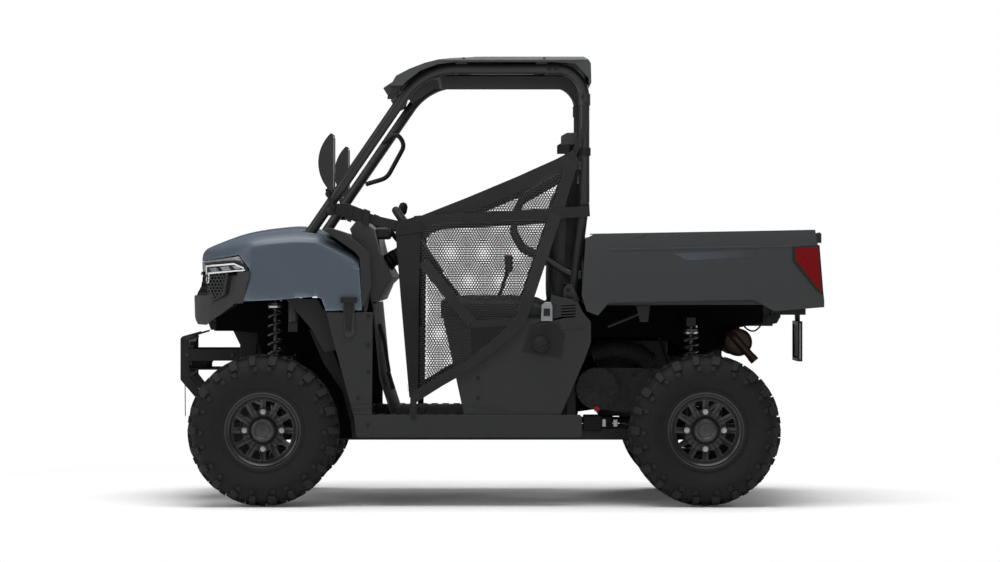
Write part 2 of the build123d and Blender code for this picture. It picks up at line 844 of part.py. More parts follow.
def honeycomb(start, end, low, high):
    """Hexagonal holes through a wall that runs in plan from start to end, between two heights."""
    (x0, y0), (x1, y1) = start, end
    run = Vector(x1 - x0, y1 - y0, 0)
    out = Vector(y0 - y1, x1 - x0, 0).normalized()
    hole = (HONEYCOMB_PITCH - HONEYCOMB_STRAND) / 2
    row_step = HONEYCOMB_PITCH * cos(radians(30))
    rows = int((high - low - 2 * hole) / row_step) + 1
    columns = int((run.length - HONEYCOMB_PITCH) / HONEYCOMB_PITCH)
    along_wall = run.normalized()
    first = (run.length - columns * HONEYCOMB_PITCH) / 2
    holes = []
    for row in range(rows):
        z = low + hole + (high - low - 2 * hole - (rows - 1) * row_step) / 2 + row * row_step
        for column in range(columns + 1 - row % 2):
            share = first + (column + row % 2 / 2) * HONEYCOMB_PITCH
            at = Vector(x0, y0, z) + along_wall * share
            seat = Plane(origin=at - out * 45, z_dir=out, x_dir=along_wall)
            holes.append(extrude(seat * RegularPolygon(hole / cos(radians(30)), 6, rotation=30), amount=90))
    return holes


def grille():
    """Honeycomb band round the nose, in five panels with a joint at each corner."""
    band = (fascia_form(FASCIA_WALL) - fascia_form(FASCIA_WALL + GRILLE_WALL)) & grille_zone(8)
    top = bar((-1248, -1000), (-620, 620), (972, 1000))
    band = max((band - top).solids(), key=lambda piece: piece.volume)
    corners = [(x, y) for x, y in nose_plan()[1:4]]
    for x, y in corners[:2]:
        for side in SIDES:
            band -= Pos(x, side * y, 930) * Rot(0, 0, side * 25) * Box(120, 1.2, 200)
    walls = [((corners[0][0], -corners[0][1]), corners[0])]
    for start, end in zip(corners, corners[1:]):
        walls.append((start, end))
        walls.append(((end[0], -end[1]), (start[0], -start[1])))
    for start, end in walls:
        band -= honeycomb(start, end, 892, 966)
    return group(sorted(band.solids(), key=lambda piece: -piece.volume)[:5])


def front_bumper():
    """Two bent flat bars on stays from the frame, joined by cross tubes and the winch tray."""
    half = BUMPER_BAR / 2
    front = FRONT_X + 6
    back = front + 38
    outline = [
        (front, 520),
        (front, 698),
        (front + 10, 708),
        (front + 88, 730),
        (front + 88, 722),
        (back, 707),
        (back, 534),
        (RAIL_FRONT_X, RAIL_TOP - 6),
        (RAIL_FRONT_X, RAIL_BOTTOM + 6),
    ]
    side = side_plate(outline, BUMPER_Y - half, BUMPER_Y + half)
    side += bar((back - 5, -1107), (BUMPER_Y - half, BUMPER_Y + half), (602, 652))
    bumper = side - uprights()
    bumper += mirror(bumper, about=Plane.XZ)
    for z in (688, 545):
        bumper += rod((front + 19, -BUMPER_Y, z), (front + 19, BUMPER_Y, z), 14)
    bumper += bar((FRONT_X + FAIRLEAD_THICK, FRONT_X + 26), (-200, 200), (545, 660))
    bumper += bar((FRONT_X + 21, WINCH_X + 90), (-200, 200), (562, 568))
    bumper -= bar((FRONT_X, FRONT_X + 31), (-80, 80), (600, 630))
    bumper += bar((FRONT_X + 71, FRONT_X + 81), (-BUMPER_Y, BUMPER_Y), (562, 568))
    return bumper


def winch():
    body = drum(WINCH_X, 606, 34, -80, 80)
    for side in SIDES:
        body += drum(WINCH_X, 606, 38, side * 80, side * 150)
        body += bar((WINCH_X - 32, WINCH_X + 32), (side * 90, side * 140), (568, 600))
    return body


def fairlead():
    plate = bar((FRONT_X, FRONT_X + FAIRLEAD_THICK), (-118, 118), (578, 652))
    slot = bar((FRONT_X - 10, FRONT_X + 31), (-80, 80), (600, 630))
    return plate - slot


# ---------------------------------------------------------------- power train
def engine_block():
    block = bar((ENGINE_X, ENGINE_X + 300), (-138, 200), (RAIL_TOP + 48, 690))
    for x in (ENGINE_X + 20, ENGINE_X + 180):
        for y in (-120, 120):
            block += bar((x, x + 40), (y - 30, y + 30), (RAIL_TOP, RAIL_TOP + 48))
    return block


def clutch_cover():
    """Round drive cover with radial ribs, joined to the smaller driven cover behind it."""
    drive_x, driven_x = ENGINE_X - 9, ENGINE_X + 222
    disc = drum(drive_x, 484, 90, -300, -138)
    rear = drum(driven_x, 470, 100, -255, -138)
    web = side_plate([(drive_x, 574), (drive_x, 394), (driven_x, 370), (driven_x, 570)], -245, -138)
    cover = disc + rear + web
    rib = bar((16, 84), (-306, -296), (-2, 2))
    cover += [Pos(drive_x, 0, 484) * Rot(0, 36 * k, 0) * rib for k in range(10)]
    for x in (drive_x + 69, drive_x + 109, drive_x + 149, drive_x + 189):
        cover += side_plate([(x, 545), (x + 6, 545), (x + 6, 430), (x, 430)], -252, -240)
    return cover


def transmission():
    case = bar((ENGINE_X + 320, REAR_AXLE_X + 51), (-138, 150), (RAIL_TOP, 440))
    case += drum(REAR_AXLE_X, 350, 52, -170, 170)
    feet = bar((ENGINE_X + 300, ENGINE_X + 320), (-100, 100), (340, 420))
    return case + feet - prop_shaft_line(14)


def front_gearcase():
    case = drum(FRONT_AXLE_X, AXLE_Z + 26, 52, -95, 95)
    foot = bar((-1078, -882), (-60, 60), (RAIL_TOP, RAIL_TOP + 16))
    return case + foot - prop_shaft_line(14)


def prop_shaft_line(radius):
    """Shaft that runs under the floor from the transmission to the front gearcase."""
    return rod((-930, 0, 338), (ENGINE_X + 325, 0, 338), radius)


def prop_shaft():
    return prop_shaft_line(14) - rack_housing()


def muffler():
    can = drum(1034, 683, 58, -340, 200)
    tail = bent_tube([(1034, -300, 683), (1034, -300, 600), (1090, -300, 600)], 17, [30])
    header = bent_tube([(740, 100, 610), (900, 100, 610), (1034, 100, 683)], 20, [60])
    hanger = bar((1020, 1048), (-RAIL_OUTER + 8, -RAIL_INNER - 8), (730, UPPER_RAIL_BOTTOM))
    return can + tail + header + hanger


def drive_shafts():
    shafts = []
    # axle middle, inner end, outer end, inner height, boot radius
    for x, inner, outer, z, boot in (
        (FRONT_AXLE_X, 95, KINGPIN_Y - 38, AXLE_Z + 26, 27),
        (REAR_AXLE_X, 170, 452, 350, 23),
    ):
        start, end = (x, inner, z), (x, outer, AXLE_Z)
        shaft = rod(start, end, 11)
        length = outer - inner
        boots = rod(start, along(start, end, 34 / length), boot)
        boots += rod(along(start, end, 1 - 34 / length), end, boot)
        whole = shaft + boots - front_gearcase() - transmission() - rear_carriers()
        shafts += both(max(whole.solids(), key=lambda piece: piece.volume))
    return group(shafts)


# ---------------------------------------------------------------- suspension
def front_arms():
    arms = []
    side_of_rail = bar((-1110, -870), (150, RAIL_OUTER), (200, 520))
    # frame side height, wheel side height, ball stud towards the knuckle
    for frame_z, wheel_z, stud in ((300, AXLE_Z - 108, 1), (440, AXLE_Z + 108, -1)):
        arm = rod((-1062, 262, frame_z), (-984, KINGPIN_Y, wheel_z), 12)
        arm += rod((-910, 262, frame_z), (-976, KINGPIN_Y, wheel_z), 12)
        arm += Pos(FRONT_AXLE_X, KINGPIN_Y, wheel_z) * Cylinder(20, 18)
        arm += Pos(FRONT_AXLE_X, KINGPIN_Y, wheel_z + stud * 12) * Cylinder(8, 18)
        arm += rod((-1080, 266, frame_z), (-895, 266, frame_z), 15)
        arms += both(arm - side_of_rail)
    return group(arms)


def rear_arms():
    arms = []
    beyond = bar((700, 1100), (452, 600), (0, 700))
    for frame_z, wheel_z in ((300, AXLE_Z - 70), (440, AXLE_Z + 70)):
        arm = rod((790, 268, frame_z), (REAR_AXLE_X - 8, 460, wheel_z), 13)
        arm += rod((960, 268, frame_z), (REAR_AXLE_X + 8, 460, wheel_z), 13)
        arm += rod((775, 270, frame_z), (975, 270, frame_z), 15)
        arms += both(arm - beyond)
    return group(arms)


SHOCKS = (
    # x, upper y, upper z, lower y, lower z
    (-942, 440, 866, 440, 250),
    (826, 425, UPPER_RAIL_BOTTOM, 400, 270),
)


def shock_line(shock):
    x, top_y, top_z, low_y, low_z = shock
    return (x, top_y, top_z), (x, low_y, low_z)


def along(start, end, share):
    return tuple(a + (b - a) * share for a, b in zip(start, end))


def shocks():
    pieces = []
    arms = (front_arms(), rear_arms())
    for shock, arm in zip(SHOCKS, arms):
        top, low = shock_line(shock)
        damper = rod(along(top, low, 0.35), low, 20)
        piston = rod(top, along(top, low, 0.36), 9)
        collar = rod(along(top, low, 0.02), along(top, low, 0.05), 32)
        seat = rod(along(top, low, 0.60), along(top, low, 0.63), 32)
        strut = damper + piston + collar + seat - arm - crossmembers()
        pieces += both(max(strut.solids(), key=lambda piece: piece.volume))
    return group(pieces)


def coil_springs():
    pieces = []
    for shock in SHOCKS:
        top, low = shock_line(shock)
        start, end = along(top, low, 0.05), along(top, low, 0.60)
        pieces += both(rod(start, end, 30) - rod(start, end, 22))
    return group(pieces)


def rack_housing():
    x = FRONT_AXLE_X + STEER_ARM
    return drum(x, 372, 22, -190, 190) - drum(x, 372, 8 + PIN_GAP, -190, 190)


def tie_rods():
    x = FRONT_AXLE_X + STEER_ARM
    reach = KINGPIN_Y - 14
    link = drum(x, 372, 8, -reach, reach)
    for side in SIDES:
        link += Pos(x, side * reach, 366) * Cylinder(14, 22)
    return link


# ---------------------------------------------------------------- cargo box
def cargo_tub():
    outline = [
        (407, 1142),
        (373, 1123),
        (355.5, 887),
        (376, 820),
        (423, 801),
        (469, 855),
        (1074, 868),
        (1167, 820),
        (REAR_X, 836),
        (REAR_X, 863),
        (REAR_X - 27, BOX_LEDGE - 3),
        (REAR_X - 38, 1161),
    ]
    inside = BODY_HALF - BOX_WALL
    block = side_plate(outline, -BODY_HALF, BODY_HALF)
    cavity = bar((425, 1500), (-inside, inside), (BOX_FLOOR_TOP, 1300))
    under = bar((300, 1450), (-600, 600), (700, BOX_FLOOR_TOP - BOX_FLOOR_THICK))
    front = bar((300, 385), (-600, 600), (700, 1300))
    rear_lip = bar((REAR_X - 71, REAR_X + 29), (-inside, inside), (863, 1300))
    floor = bar((400, REAR_X - 60), (-inside, inside), (BOX_FLOOR_TOP - BOX_FLOOR_THICK, BOX_FLOOR_TOP))
    tub = block - cavity - under - front - rear_lip + floor
    lean = cross_plate([(BODY_HALF, BOX_LEDGE), (BODY_HALF + 5, 1200), (BODY_HALF - 16, 1200)], 300, 1400)
    skirt = cross_plate([(BODY_HALF, 905), (BODY_HALF + 5, 790), (BODY_HALF - 9, 790)], 300, 1400)
    for shape in both(lean) + both(skirt):
        tub -= shape
    for side in SIDES:
        tub -= gate_pin(side, PIN_GAP)
    return tub


def gate_pin(side, play):
    """Hinge pin that stands out of the tailgate's end into the side wall."""
    inner = BODY_HALF - BOX_WALL - CLEARANCE
    return drum(GATE_HINGE_X, GATE_HINGE_Z, GATE_PIN_R + play, side * inner, side * (inner + 25 + play))


def gate_outline():
    # distance ahead of the rear end, height
    stations = ((0, 869), (27, 1095), (38, 1158), (68, 1158), (57, 1095), (30, 869))
    return [(REAR_X - back, z) for back, z in stations]


def tailgate():
    half = BODY_HALF - BOX_WALL - CLEARANCE
    gate = side_plate(gate_outline(), -half, half)
    for side in SIDES:
        gate += gate_pin(side, 0)
    return gate


def box_underframe():
    bottom = BOX_FLOOR_TOP - BOX_FLOOR_THICK
    rail = bar((430, REAR_X - 41), (RAIL_INNER, RAIL_OUTER), (800, bottom))
    lug = side_plate([(1180, bottom), (1180, 790), (1192, 782), (1208, 782), (1220, 790), (1220, bottom)],
                     RAIL_OUTER + 14, RAIL_OUTER + 24)
    lug -= drum(BOX_PIVOT_X, BOX_PIVOT_Z, BOX_PIN_R + PIN_GAP, 200, 400)
    cross = [bar((x, x + 40), (-RAIL_INNER, RAIL_INNER), (806, bottom)) for x in (470, 1000)]
    return group(both(rail) + both(lug) + cross)


def plate_holder():
    arm = bar((1217, 1320), (-20, 20), (806, 846)) + bar((1305, 1325), (-20, 20), (760, 846))
    frame = bar((1305, 1325), (-150, 150), (597, 771)) - bar((1300, 1330), (-135, 135), (612, 756))
    return arm + frame


def tail_lamps():
    # distance ahead of the rear end, height
    stations = ((123, 1084), (27, 1088), (13, 900), (31, 920), (121, 1034))
    outline = [(REAR_X - back, z) for back, z in stations]
    return group(both(side_plate(outline, BODY_HALF, BODY_HALF + 6)))


# ---------------------------------------------------------------- nets and mirrors
def side_nets():
    outline = [
        (-427, 1170),
        (-420, 1200),
        (-323, 1222),
        (262, 1480),
        (345, 1500),
        (345, 1436),
        (320, 1400),
        (292, 1262),
        (360, 1245),
        (360, 1190),
        (100, 772),
        (-106, 604),
        (-334, 462),
        (-334, 370),
        (-362, 370),
        (-365, 460),
    ]
    # half width of the net at each height
    stations = ((BODY_HALF, 300), (BODY_HALF, 880), (CAGE_HALF + 43, 1260), (CAGE_HALF + 25, 1510))
    section = list(stations) + [(y + NET_THICK, z) for y, z in reversed(stations)]
    sheet = cross_plate(section, -500, 400)
    net = sheet & side_plate(outline, 0, 800)
    net += bar((346, 361), (CAGE_HALF, 606), (1196, 1240))
    net -= cage_rear_tubes()
    net = max(net.solids(), key=lambda piece: piece.volume)
    return group(both(net))


def side_mirrors():
    pieces = []
    for side in SIDES:
        back = ThreePointArc((-694, 0, 1320), (-741, 0, 1420), (-690, 0, 1560))
        face = Polyline((-690, 0, 1560), (-680, 0, 1556), (-680, 0, 1326), (-694, 0, 1320))
        head = extrude(make_face(back + face), amount=MIRROR_WIDTH, dir=(0, side, 0))
        head = Pos(0, side * (MIRROR_OUTER - MIRROR_WIDTH), 0) * head
        stem = rod((-712, side * 660, 1330), (-690, side * 590, 1240), 8)
        clamp = rod((-690, side * 600, 1240), (-705, side * (CAGE_HALF + CAGE_TUBE_R - 6), 1240), 18)
        pieces.append(head + stem + clamp)
    cage = cage_front_tubes()
    return group([piece - cage for piece in pieces])


def hitch_receiver():
    outside = bar((RAIL_REAR_X - 60, RAIL_REAR_X + 35), (-32, 32), (RAIL_TOP, RAIL_TOP + 64))
    half = HITCH_SOCKET / 2
    middle = RAIL_TOP + 32
    socket = bar((RAIL_REAR_X - 50, RAIL_REAR_X + 50), (-half, half), (middle - half, middle + half))
    pin_hole = drum(RAIL_REAR_X, middle, HITCH_PIN_R, -40, 40)
    return outside - socket - pin_hole


# ---------------------------------------------------------------- export
def nodes():
    table = {
        "lower_rails": lower_rails(),
        "upper_rails": upper_rails(),
        "uprights": uprights(),
        "crossmembers": crossmembers(),
        "floor_bearers": floor_bearers(),
        "frame_brackets": group([shock_towers(), hinge_brackets()]),
        "floor_pan": floor_pan(),
        "front_side_panels": front_side_panels(),
        "seat_box": seat_box(),
        "seat_cushion": seat_cushion(),
        "seat_back": seat_back(),
        "cage_front_tubes": cage_front_tubes(),
        "cage_rear_tubes": cage_rear_tubes(),
        "cage_cross_tubes": cage_cross_tubes(),
        "restraint_bars": restraint_bars(),
        "roof": roof(),
        "cowl": cowl(),
        "dashboard": dashboard(),
        "steering_column": steering_column(),
        "steering_wheel": steering_wheel(),
        "controls": group([pedals(), shift_lever()]),
        "hood": hood(),
        "front_fascia": front_fascia(),
        "headlamps": headlamps(),
        "grille": grille(),
        "front_bumper": front_bumper(),
        "winch": winch(),
        "fairlead": fairlead(),
        "engine_block": engine_block(),
        "clutch_cover": clutch_cover(),
        "gearcases": group([transmission(), front_gearcase()]),
        "muffler": muffler(),
        "drive_shafts": group([drive_shafts(), prop_shaft()]),
        "suspension_arms": group([front_arms(), rear_arms()]),
        "shocks": shocks(),
        "coil_springs": coil_springs(),
        "rear_carriers": rear_carriers(),
        "rack_housing": rack_housing(),
        "tie_rods": tie_rods(),
        "knuckle_left": knuckle(-1),
        "knuckle_right": knuckle(1),
        "cargo_tub": cargo_tub(),
        "box_underframe": box_underframe() + plate_holder(),
        "tail_lamps": tail_lamps(),
        "tailgate": tailgate(),
        "side_nets": side_nets(),
        "side_mirrors": side_mirrors(),
        "hitch_receiver": hitch_receiver(),
    }
    for axle in ("front", "rear"):
        for side, hand in ((-1, "left"), (1, "right")):
            table[f"tyre_{axle}_{hand}"] = tyre(axle, side)
            table[f"rim_{axle}_{hand}"] = rim(axle, side)
    return table


if __name__ == "__main__":
    os.makedirs("parts", exist_ok=True)
    for name, shape in nodes().items():
        export_step(shape, f"parts/{name}.step")
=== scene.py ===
from math import cos, pi, radians, sin, sqrt

import bmesh
import bpy
from mathutils import Matrix, Vector


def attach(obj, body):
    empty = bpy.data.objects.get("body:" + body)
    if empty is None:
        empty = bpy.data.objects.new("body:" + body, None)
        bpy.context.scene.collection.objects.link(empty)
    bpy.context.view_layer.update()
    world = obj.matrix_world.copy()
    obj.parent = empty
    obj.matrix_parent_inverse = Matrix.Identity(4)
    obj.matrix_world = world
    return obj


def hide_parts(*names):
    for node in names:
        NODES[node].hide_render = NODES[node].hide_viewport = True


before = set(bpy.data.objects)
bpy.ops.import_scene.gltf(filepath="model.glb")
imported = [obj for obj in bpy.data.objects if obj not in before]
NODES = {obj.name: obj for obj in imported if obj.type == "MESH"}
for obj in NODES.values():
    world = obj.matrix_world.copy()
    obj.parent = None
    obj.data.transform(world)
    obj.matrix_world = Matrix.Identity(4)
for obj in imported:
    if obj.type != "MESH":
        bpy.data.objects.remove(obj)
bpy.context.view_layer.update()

# ------------------------------------------------------------------ places, in metres
FRONT_AXLE_X = -0.980
REAR_AXLE_X = 0.874
AXLE_Z = 0.320
BEAD_R = 0.1524
BODY_HALF = 0.690
PANEL_HALF = 0.680
CAGE_Y = 0.547
CAGE_R = 0.02225
CAGE_TOP = 1.842
RIM_DISC_INSET = 0.032
WHEELS = {
    # axle: (x, centre y, half tyre width, half rim width)
    "front": (FRONT_AXLE_X, 0.6315, 0.105, 0.0825),
    "rear": (REAR_AXLE_X, 0.6095, 0.127, 0.1015),
}
SHOCKS = {
    # axle: (x, upper y, upper z, lower y, lower z)
    "front": (-0.942, 0.440, 0.866, 0.440, 0.250),
    "rear": (0.826, 0.425, 0.752, 0.400, 0.270),
}
SIDES = ((-1, "left"), (1, "right"))

# ------------------------------------------------------------------ outlines read on the photograph
# the photograph's camera, in mm and pixels; it looks level along +Y
CAMERA_DISTANCE = 15625
CAMERA_X = 13
CAMERA_Z = 946
FOCAL_LENGTH = 3568
AXIS_PX = 500
AXIS_PY = 281
PIXELS = {
    # name: (distance from the middle plane towards the camera in mm, then corners in pixels)
    "net_region": (640, (421, 229), (560, 167), (572, 160), (520, 322), (471.6, 360), (420, 390)),
    "net_top": (640, (417, 225), (470, 204), (520, 183), (560, 165), (577, 156)),
    "net_middle": (640, (414, 221), (470, 218), (551, 213.6), (590, 211)),
    "net_rear": (640, (573, 160), (560, 203), (540, 262), (520, 322)),
    "net_slant": (640, (423, 262), (447, 292), (471.6, 323)),
    "net_low": (640, (524, 318), (498, 342), (471.6, 363), (440, 381), (413, 398)),
    "net_foot": (640, (413.7, 392), (413.7, 419)),
    "net_cross": (640, (471, 324), (521, 321)),
    "net_front": (600, (334, 208), (346, 211.5), (360, 215.5), (378, 221), (398, 225.5), (424, 229)),
    "cloth_front": (640, (395, 228), (421, 222), (419, 300), (418.4, 397), (409.6, 397)),
    "cloth_low": (640, (471.6, 323), (519, 323), (497, 343), (471.6, 361)),
    "cloth_corner": (640, (395, 236), (397, 222), (420, 215), (424, 232)),
    "net_clip_0": (600, (336, 203.5), (348, 203.5), (366, 210.5), (365, 222.5), (352, 220.5), (336, 214)),
    "net_clip_1": (600, (350, 205), (353.5, 206.5), (351, 222.5), (347, 221)),
    "net_clip_2": (600, (364, 208.5), (370.5, 211), (369, 226), (362.5, 224)),
    "net_buckle": (680, (541, 321), (541.5, 305), (545, 302), (551, 302), (552.5, 306), (552.5, 321)),
    "net_buckle_slot": (680, (543.5, 316), (543.5, 308.5), (550, 308.5), (550, 316)),
    "side_grille": (520, (207, 276), (227.5, 272.6), (224, 293), (209, 301.6), (206.5, 291)),
    "grille_rim": (520, (228, 272.4), (230, 272.2), (226.5, 294.5), (209.5, 303.6), (208.8, 301.8),
                   (224, 293)),
    "lamp_bowl": (520, (203, 264.5), (236, 262.3), (247, 267), (248.6, 270.6), (209.5, 274.3),
                  (207.4, 283.5), (203.6, 283.5)),
    "lamp_part_0": (520, (203.6, 265.4), (236, 263.2), (246.8, 267.8), (246.2, 269), (236, 264.9),
                    (203.8, 267)),
    "lamp_part_1": (520, (206, 272.7), (247.6, 269.6), (247.8, 270.7), (206.2, 274.3)),
    "lamp_part_2": (520, (203.7, 267), (205.2, 267), (205.1, 283.3), (203.8, 283.3)),
    "lamp_part_3": (520, (207.2, 274), (208.6, 274), (207.9, 283.3), (206.9, 283.3)),
    "lamp_part_4": (520, (205, 282.2), (207, 282.2), (207, 283.4), (205, 283.4)),
    "lamp_part_5": (520, (209, 268), (216, 267.4), (219.5, 271.2), (211, 272)),
    "lamp_part_6": (520, (221, 267), (229.5, 266.2), (233, 269.8), (224, 270.8)),
    "lamp_part_7": (520, (234, 266), (238.5, 265.9), (243.5, 268.6), (237.5, 269.4)),
    "lamp_brow": (520, (201.5, 262.6), (237, 260.4), (249.5, 266.2), (250.6, 271.2), (248.4, 270.6),
                  (247, 267), (236, 262.3), (203, 264.5)),
    "fascia_wing": (660, (238, 272.4), (250.5, 271.2), (250.2, 276), (243.2, 303.2), (230.5, 303.8)),
    "panel_latch": (690, (344.5, 299), (353.5, 299), (353, 310), (351.5, 322), (351, 331), (346, 331),
                    (345.5, 322), (344.6, 310)),
    "panel_latch_head": (690, (340.5, 297), (357, 297), (357, 303), (340.5, 303)),
    "panel_latch_seat": (690, (343, 305), (354.5, 305), (354.5, 334), (350, 338), (345, 336)),
    "inner_fender": (360, (216, 318), (246, 300), (325, 298), (331, 330), (318, 347), (290, 356),
                     (262, 355), (257, 333), (235, 331), (216, 331)),
    "toe_liner": (335, (296, 300), (345, 300), (351, 330), (352, 438), (340, 438), (322, 420), (296, 380)),
    "arch_trim": (600, (286, 299), (317, 299), (329, 318), (336, 350), (324, 352), (312, 330)),
    "arch_step": (690, (351, 406), (372, 404), (372, 407), (351, 409)),
    "arch_liner": (690, (307.6, 330), (326, 330), (332, 352), (348, 395), (358, 430), (357, 438),
                   (351, 438), (350, 427), (341, 392), (322, 364)),
    "cowl_corner": (690, (322, 229.3), (331, 227.8), (343, 231.5), (355, 240.5), (367, 250.6), (370, 256),
                    (372, 286), (365, 306), (360.2, 308), (360, 299), (359.6, 258), (354.6, 252)),
    "vent_shade": (600, (558, 303), (578, 303), (579, 321), (558, 321)),
    "box_hem": (600, (598, 297), (772, 297), (765, 302.5), (690, 305), (606, 305.5)),
    "panel_line_0": (680, (471, 366), (498, 345), (500, 346.5), (473, 368)),
    "panel_line_1": (680, (472, 404), (508, 409), (508, 411), (472, 406)),
    "panel_line_2": (680, (559, 328), (583, 326), (583, 328), (560, 330)),
    "panel_bolts": (680, (478, 398), (478, 378), (512, 330), (566, 420), (575, 300)),
    "front_panel_bolts": (690, (368, 316), (368, 345), (368, 372), (358, 398), (368, 425)),
    "belt_anchor": (547, (561, 145), (561, 136), (567, 132.5), (578, 132.5), (578, 145)),
    "pillar_foot": (600, (562, 301), (564, 287), (568, 284), (573, 285), (580, 301)),
    "foot_bolts": (600, (568, 289.5), (569, 297)),
    "grab_handle": (-505, (383, 143), (397, 133), (405, 145), (387, 178), (366, 184)),
    "roof_bracket": (547, (427, 77.5), (431, 75.2), (440, 75.2), (442.6, 88.4), (439.8, 88.6),
                     (437.4, 79.8)),
    "visor_end": (547, (383, 88), (392, 82), (402, 84), (400, 92), (388, 96)),
    "visor_clip": (547, (387, 98.6), (389, 90), (400, 89), (399, 96), (393, 99)),
    "box_stripe": (690, (674, 253.2), (754, 250.2), (756, 257), (687, 260.5)),
    "box_ledge": (690, (609, 248.8), (818, 244.6), (818, 246.6), (609, 250.8)),
    "box_facet": (690, (590, 247), (644, 233.5), (646.5, 234), (609, 250.5), (590, 249)),
    "box_rail": (690, (590, 234.6), (812, 231), (812, 229.8), (590, 233.6)),
    "lamp_rim": (690, (792.5, 247), (819.5, 245), (823.5, 295), (816, 290), (792.5, 261)),
    "lamp_rim_inner": (690, (795.5, 249.5), (816.5, 248), (820, 290.5), (816.3, 285), (795.5, 259)),
    "gate_latch": (690, (816.3, 243), (816.3, 233), (820, 232.2), (821.7, 234), (821.7, 243)),
    "release_bar": (600, (608, 326.7), (634, 316), (645, 311)),
    "release_bracket": (600, (636, 305), (650, 305), (648, 322), (640, 322)),
    "lamp_cable": (260, (741, 321), (746, 329), (754, 332), (761, 326), (764, 314)),
    "front_gusset": (240, (233.5, 330.5), (258, 330.5), (258, 345), (240, 344)),
    "frame_tab": (250, (289, 331), (303, 331), (303, 337), (289, 337)),
}


def photo(name):
    """Points of (x, z) in metres, each scaled at its own distance from the camera."""
    near, *corners = PIXELS[name]
    scale = (CAMERA_DISTANCE - near) / FOCAL_LENGTH
    return [(round(((px - AXIS_PX) * scale + CAMERA_X) / 1000, 4),
             round((CAMERA_Z + (AXIS_PY - py) * scale) / 1000, 4)) for px, py in corners]


# ------------------------------------------------------------------ materials
def new_material(name):
    mat = bpy.data.materials.new(name)
    mat.use_nodes = True
    return mat, mat.node_tree.nodes, mat.node_tree.nodes["Principled BSDF"]


def feed(node, key, value):
    """Sets an input to a value, or links it to another node's output."""
    if isinstance(value, bpy.types.NodeSocket):
        node.id_data.links.new(value, node.inputs[key])
    else:
        node.inputs[key].default_value = value


def add(nodes, kind, **values):
    """A shader node with its inputs and properties set by name; an input's spaces are underscores here."""
    node = nodes.new(kind)
    for key, value in values.items():
        socket = key.replace("_", " ")
        if socket in node.inputs:
            feed(node, socket, value)
        else:
            setattr(node, key, value)
    return node


def maths(nodes, operation, *values):
    node = add(nodes, "ShaderNodeMath", operation=operation)
    for key, value in enumerate(values):
        feed(node, key, value)
    return node.outputs["Value"]


def mix_colours(nodes, fac, low, high):
    """Mixes two colours by a factor; the mix node's colour sockets are known by number only."""
    mix = add(nodes, "ShaderNodeMix", data_type="RGBA")
    for key, value in ((0, fac), (6, low), (7, high)):
        feed(mix, key, value)
    return mix.outputs[2]


def number_range(nodes, fac, low, high, start=0.0, end=1.0):
    node = add(nodes, "ShaderNodeMapRange", Value=fac, From_Min=start, From_Max=end, To_Min=low, To_Max=high)
    return node.outputs["Result"]


def tint(base, share):
    return (*[min(1.0, c * share) for c in base], 1)


def bump(nodes, shader, height, strength, depth):
    node = add(nodes, "ShaderNodeBump", Strength=strength, Distance=depth, Height=height)
    feed(shader, "Normal", node.outputs["Normal"])


def surface(name, base, vary=0.12, blotch=3.0, rough=(0.5, 0.6), grain=900.0, depth=0.0002, relief=0.3,
            metallic=0.0, specular=0.4, coat=0.0, edge=0.0, cells=True):
    """A moulded, painted or cast surface: blotchy colour, uneven roughness, grain and paler edges."""
    mat, nodes, shader = new_material(name)
    for key, value in (("Metallic", metallic), ("Specular IOR Level", specular), ("Coat Weight", coat),
                       ("Coat Roughness", 0.25)):
        feed(shader, key, value)
    place = nodes.new("ShaderNodeTexCoord").outputs["Object"]
    broad = add(nodes, "ShaderNodeTexNoise", Vector=place, Scale=blotch, Detail=4.0, Roughness=0.6)
    colour = mix_colours(nodes, broad.outputs["Fac"], tint(base, 1 - vary), tint(base, 1 + vary))
    if edge:
        geometry = nodes.new("ShaderNodeNewGeometry")
        worn = add(nodes, "ShaderNodeValToRGB", Fac=geometry.outputs["Pointiness"])
        worn.color_ramp.elements[0].position = 0.52
        worn.color_ramp.elements[1].position = 0.62
        colour = mix_colours(nodes, worn.outputs["Color"], colour, tint(base, 1 + edge))
    feed(shader, "Base Color", colour)
    uneven = add(nodes, "ShaderNodeTexNoise", Vector=place, Scale=blotch * 6, Detail=3.0)
    feed(shader, "Roughness", number_range(nodes, uneven.outputs["Fac"], *rough))
    if cells:
        height = add(nodes, "ShaderNodeTexVoronoi", Vector=place, Scale=grain).outputs["Distance"]
    else:
        height = add(nodes, "ShaderNodeTexNoise", Vector=place, Scale=grain, Detail=2.0).outputs["Fac"]
    bump(nodes, shader, height, relief, depth)
    return mat


def woven(name, base, across=0.0035, along=0.0022):
    """Webbing: ribs across and along the strap, from the UV map in metres."""
    mat, nodes, shader = new_material(name)
    for key, value in (("Roughness", 0.85), ("Sheen Weight", 0.25), ("Sheen Roughness", 0.5),
                       ("Specular IOR Level", 0.2)):
        feed(shader, key, value)
    place = nodes.new("ShaderNodeTexCoord").outputs
    waves = [add(nodes, "ShaderNodeTexWave", Vector=place["UV"], Scale=1 / pitch / 3.2,
                 bands_direction=axis, Distortion=0.4).outputs["Fac"]
             for axis, pitch in (("X", across), ("Y", along))]
    ribs = maths(nodes, "MULTIPLY", *waves)
    broad = add(nodes, "ShaderNodeTexNoise", Vector=place["Object"], Scale=9.0, Detail=5.0)
    blend = maths(nodes, "MULTIPLY_ADD", ribs, 0.6, broad.outputs["Fac"])
    feed(shader, "Base Color", mix_colours(nodes, blend, tint(base, 0.55), tint(base, 1.35)))
    bump(nodes, shader, ribs, 0.6, 0.0006)
    return mat


